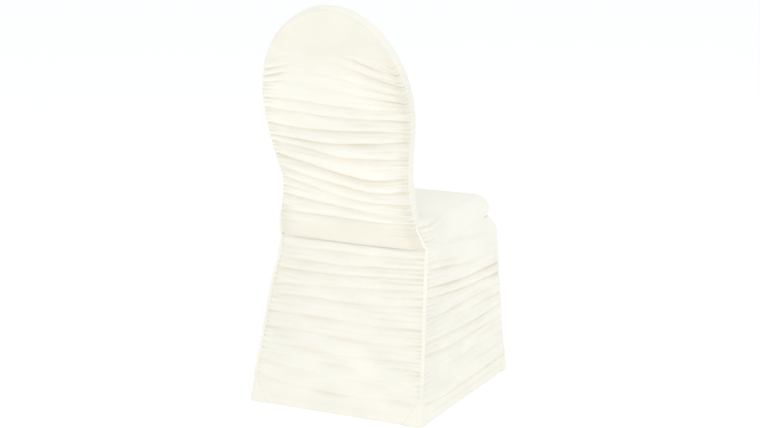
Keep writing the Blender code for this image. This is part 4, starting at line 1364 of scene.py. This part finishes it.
def knit_group():
    """A node group for the knit: its colour with painted shade in the hollows, roughness and fine
    height.
    """
    if KNIT_GROUP in bpy.data.node_groups:
        return bpy.data.node_groups[KNIT_GROUP]
    tree = bpy.data.node_groups.new(KNIT_GROUP, "ShaderNodeTree")
    for name, kind, default in (
        ("Ivory", "NodeSocketColor", (0.93, 0.90, 0.80, 1.0)),
        ("Shaded", "NodeSocketColor", (0.80, 0.74, 0.60, 1.0)),
        ("Hollow tint", "NodeSocketFloat", 0.5),
        ("Wales per metre", "NodeSocketFloat", 900.0),
    ):
        socket = tree.interface.new_socket(name=name, in_out="INPUT", socket_type=kind)
        socket.default_value = default
    for name, kind in (("Color", "Color"), ("Roughness", "Float"), ("Height", "Float")):
        tree.interface.new_socket(name=name, in_out="OUTPUT", socket_type="NodeSocket" + kind)
    given = add_node(tree, "NodeGroupInput")
    result = add_node(tree, "NodeGroupOutput")
    coords = add_node(tree, "ShaderNodeTexCoord")
    cloud = add_node(tree, "ShaderNodeTexNoise", {"Scale": 9.0, "Detail": 3.0})
    speck = add_node(tree, "ShaderNodeTexNoise", {"Scale": 420.0, "Detail": 4.0})
    connect(tree, (coords, "Object", cloud, "Vector"), (coords, "Object", speck, "Vector"))

    # colour: painted shade, deeper in the hollows, with faint clouds and flecks
    hollow = add_node(tree, "ShaderNodeAttribute", attribute_name="hollow")
    tint = add_node(tree, "ShaderNodeMath", operation="MULTIPLY")
    base = add_node(tree, "ShaderNodeMix", data_type="RGBA")
    middle = {"From Min": 0.3, "From Max": 0.7}
    shade = add_node(tree, "ShaderNodeMapRange", {**middle, "To Min": 0.965, "To Max": 1.02})
    fleck = add_node(tree, "ShaderNodeMapRange", {**middle, "To Min": 0.985, "To Max": 1.01})
    both = add_node(tree, "ShaderNodeMath", operation="MULTIPLY")
    scaled = add_node(tree, "ShaderNodeVectorMath", operation="SCALE")
    rough = add_node(tree, "ShaderNodeMapRange", {"To Min": 0.66, "To Max": 0.82})
    connect(
        tree,
        (hollow, "Fac", tint, 0), (given, "Hollow tint", tint, 1),
        (tint, "Value", base, "Factor"), (given, "Ivory", base, 6), (given, "Shaded", base, 7),
        (cloud, "Fac", shade, "Value"), (speck, "Fac", fleck, "Value"),
        (shade, "Result", both, 0), (fleck, "Result", both, 1),
        (base, 2, scaled, 0), (both, "Value", scaled, "Scale"),
        (scaled, "Vector", result, "Color"),
        (cloud, "Fac", rough, "Value"), (rough, "Result", result, "Roughness"),
    )

    # height: the wales and courses of the knit, and a little fuzz
    wales = add_node(tree, "ShaderNodeVectorMath", operation="SCALE")
    split = add_node(tree, "ShaderNodeSeparateXYZ")
    loops = add_node(tree, "ShaderNodeMath", {1: 0.55}, operation="MULTIPLY_ADD")
    fuzz = add_node(tree, "ShaderNodeMath", {1: 1.2}, operation="MULTIPLY_ADD")
    connect(
        tree,
        (coords, "UV", wales, 0), (given, "Wales per metre", wales, "Scale"),
        (wales, "Vector", split, "Vector"),
    )
    for axis, rate, into in (("X", 2 * math.pi, 2), ("Y", 2.6 * math.pi, 0)):
        times = add_node(tree, "ShaderNodeMath", {1: rate}, operation="MULTIPLY")
        wave = add_node(tree, "ShaderNodeMath", operation="SINE")
        connect(tree, (split, axis, times, 0), (times, "Value", wave, 0))
        connect(tree, (wave, "Value", loops, into))
    connect(
        tree,
        (speck, "Fac", fuzz, 0), (loops, "Value", fuzz, 2), (fuzz, "Value", result, "Height"),
    )
    return tree


def new_material(name):
    """A new material with its node tree and its shader."""
    material = bpy.data.materials.new(name)
    material.use_nodes = True
    return material, material.node_tree, material.node_tree.nodes["Principled BSDF"]


def knit_material(name):
    """A matte ivory knit: plain, gathered in a binding, or doubled in a pocket."""
    if name in bpy.data.materials:
        return bpy.data.materials[name]
    colours = settings()[1]
    finish = FINISHES[name]
    material, tree, shader = new_material(name)
    set_values(shader, {
        "Metallic": 0.0, "Specular IOR Level": 0.25, "Sheen Weight": 0.18, "Sheen Roughness": 0.45,
    })
    # bright: the binding's ivory is painted a little lighter, a painted highlight
    ivory = (min(value * finish.bright, 1.0) for value in colours.ivory)
    knit = add_node(tree, "ShaderNodeGroup", {
        "Ivory": (*ivory, 1.0), "Shaded": (*colours.painted_shade, 1.0),
        "Hollow tint": finish.hollow_tint, "Wales per metre": finish.wales,
    }, node_tree=knit_group())
    bump = add_node(tree, "ShaderNodeBump", {"Strength": finish.bump, "Distance": 0.3 * MM})
    connect(
        tree,
        (knit, "Height", bump, "Height"), (bump, "Normal", shader, "Normal"),
        (knit, "Color", shader, "Base Color"), (knit, "Roughness", shader, "Roughness"),
    )
    return material


def thread_material():
    """Sewing thread with a faint twist."""
    if "ivory_thread" in bpy.data.materials:
        return bpy.data.materials["ivory_thread"]
    thread = settings()[1].thread
    material, tree, shader = new_material("ivory_thread")
    set_values(shader, {"Sheen Weight": 0.1, "Roughness": 0.6})
    coords = add_node(tree, "ShaderNodeTexCoord")
    grain = add_node(tree, "ShaderNodeTexNoise", {"Scale": 900.0})
    shades = {6: (*(value * 0.94 for value in thread), 1.0), 7: (*thread, 1.0)}
    ramp = add_node(tree, "ShaderNodeMix", shades, data_type="RGBA")
    connect(
        tree,
        (coords, "Object", grain, "Vector"), (grain, "Fac", ramp, "Factor"),
        (ramp, 2, shader, "Base Color"),
    )
    return material


def make_floor():
    """A pale floor that fades into the surroundings."""
    bpy.ops.object.select_all(action="DESELECT")
    bpy.ops.mesh.primitive_circle_add(
        vertices=96, radius=FLOOR_RADIUS, fill_type="NGON", location=(0, 0, 0)
    )
    floor = bpy.context.object
    floor.name = "studio_floor"
    material, _, shader = new_material("studio_floor")
    set_values(shader, {
        "Base Color": (*settings()[1].floor, 1.0), "Roughness": 0.9,
        "Emission Color": (1.0, 1.0, 1.0, 1.0), "Emission Strength": FLOOR_GLOW,
    })
    floor.data.materials.append(material)


def make_surroundings(scene, ambient):
    """White surroundings, a little cooler in the light that they give than to the camera."""
    world = scene.world or bpy.data.worlds.new("studio")
    scene.world = world
    world.use_nodes = True
    tree = world.node_tree
    tree.nodes.clear()
    lighting = add_node(
        tree, "ShaderNodeBackground", {"Strength": ambient, "Color": (0.965, 0.985, 1.0, 1.0)}
    )
    backdrop = add_node(
        tree, "ShaderNodeBackground", {"Strength": 1.0, "Color": (1.0, 1.0, 1.0, 1.0)}
    )
    path = add_node(tree, "ShaderNodeLightPath")
    choose = add_node(tree, "ShaderNodeMixShader")
    output = add_node(tree, "ShaderNodeOutputWorld")
    connect(
        tree,
        (path, "Is Camera Ray", choose, "Fac"), (lighting, "Background", choose, 1),
        (backdrop, "Background", choose, 2), (choose, "Shader", output, "Surface"),
    )


def make_stage():
    """A pale floor, white surroundings, two large soft lights and the camera."""
    stage = settings()[2]
    scene = bpy.context.scene
    scene.view_settings.view_transform = "Standard"
    make_floor()
    make_surroundings(scene, stage.ambient)
    for name, power, place, colour in (
        ("soft_key", stage.key, (-0.2, 4.2, 2.0), (1.0, 0.975, 0.93)),
        ("soft_fill", stage.fill, (-2.2, -1.0, 4.2), (1.0, 0.985, 0.95)),
    ):
        data = bpy.data.lights.new(name, "AREA")
        data.shape = "DISK"
        data.size = LIGHT_SIZE
        data.color = colour
        data.energy = power
        light = bpy.data.objects.new(name, data)
        scene.collection.objects.link(light)
        light.location = place
        aim = Vector(LIGHT_TARGET) - light.location
        light.rotation_euler = aim.to_track_quat("-Z", "Y").to_euler()

    lens = bpy.data.cameras.new("catalogue_camera")
    lens.sensor_width = 36.0
    lens.lens = CAMERA_LENS
    lens.clip_end = 60.0
    camera = bpy.data.objects.new("catalogue_camera", lens)
    scene.collection.objects.link(camera)
    camera.location = CAMERA_PLACE
    level = math.cos(CAMERA_PITCH)
    aim = Vector(
        (math.sin(CAMERA_YAW) * level, -math.cos(CAMERA_YAW) * level, -math.sin(CAMERA_PITCH))
    )
    camera.rotation_euler = aim.to_track_quat("-Z", "Y").to_euler()
    scene.camera = camera


class COVER_OT_back_front(bpy.types.Operator):
    """Make the front of the back, which wraps its edge"""

    bl_idname = "cover.back_front"
    bl_label = "Front of the Back"

    def execute(self, context):
        make_back_front()
        return {"FINISHED"}


class COVER_OT_ruched_back(bpy.types.Operator):
    """Make the ruched rear of the back and its plain band"""

    bl_idname = "cover.ruched_back"
    bl_label = "Ruched Back"

    def execute(self, context):
        make_ruched_back()
        return {"FINISHED"}


class COVER_OT_seat(bpy.types.Operator):
    """Make the cloth over the seat"""

    bl_idname = "cover.seat"
    bl_label = "Seat"

    def execute(self, context):
        make_seat()
        return {"FINISHED"}


class COVER_OT_skirts(bpy.types.Operator):
    """Make the four ruched skirts"""

    bl_idname = "cover.skirts"
    bl_label = "Skirts"

    def execute(self, context):
        make_skirts()
        return {"FINISHED"}


class COVER_OT_corner_gathers(bpy.types.Operator):
    """Make the gathered bindings down the rear corners"""

    bl_idname = "cover.corner_gathers"
    bl_label = "Corner Gathers"

    def execute(self, context):
        make_corner_gathers()
        return {"FINISHED"}


class COVER_OT_foot_pockets(bpy.types.Operator):
    """Make the corner patches that the feet stand in"""

    bl_idname = "cover.foot_pockets"
    bl_label = "Foot Pockets"

    def execute(self, context):
        make_foot_pockets()
        return {"FINISHED"}


class COVER_OT_stitching(bpy.types.Operator):
    """Make the stitches of the hems and the band"""

    bl_idname = "cover.stitching"
    bl_label = "Stitching"

    def execute(self, context):
        make_stitching()
        return {"FINISHED"}


class COVER_OT_stage(bpy.types.Operator):
    """Make the floor, the light and the camera"""

    bl_idname = "cover.stage"
    bl_label = "Stage"

    def execute(self, context):
        make_stage()
        return {"FINISHED"}


class COVER_PT_panel(bpy.types.Panel):
    """Lists the cover's pieces and their sizes"""

    bl_idname = "COVER_PT_panel"
    bl_label = "Chair Cover"
    bl_space_type = "VIEW_3D"
    bl_region_type = "UI"
    bl_category = "Chair Cover"

    def draw(self, context):
        layout = self.layout
        for group in settings():
            box = layout.box()
            for name in group.__annotations__:
                box.prop(group, name)
        for operator in OPERATORS:
            layout.operator(operator.bl_idname)


GROUPS = (CoverSizes, CoverColours, CoverStage)
OPERATORS = (
    COVER_OT_seat,
    COVER_OT_back_front,
    COVER_OT_ruched_back,
    COVER_OT_skirts,
    COVER_OT_corner_gathers,
    COVER_OT_foot_pockets,
    COVER_OT_stitching,
    COVER_OT_stage,
)
CLASSES = GROUPS + OPERATORS + (COVER_PT_panel,)


def register():
    for made in CLASSES:
        bpy.utils.register_class(made)
    bpy.types.Scene.cover_sizes = bpy.props.PointerProperty(type=CoverSizes)
    bpy.types.Scene.cover_colours = bpy.props.PointerProperty(type=CoverColours)
    bpy.types.Scene.cover_stage = bpy.props.PointerProperty(type=CoverStage)


def unregister():
    del bpy.types.Scene.cover_stage
    del bpy.types.Scene.cover_colours
    del bpy.types.Scene.cover_sizes
    for made in reversed(CLASSES):
        bpy.utils.unregister_class(made)


def main():
    register()
    bpy.ops.cover.seat()
    bpy.ops.cover.back_front()
    bpy.ops.cover.ruched_back()
    bpy.ops.cover.skirts()
    bpy.ops.cover.corner_gathers()
    bpy.ops.cover.foot_pockets()
    bpy.ops.cover.stitching()
    bpy.ops.cover.stage()


if __name__ == "__main__":
    main()
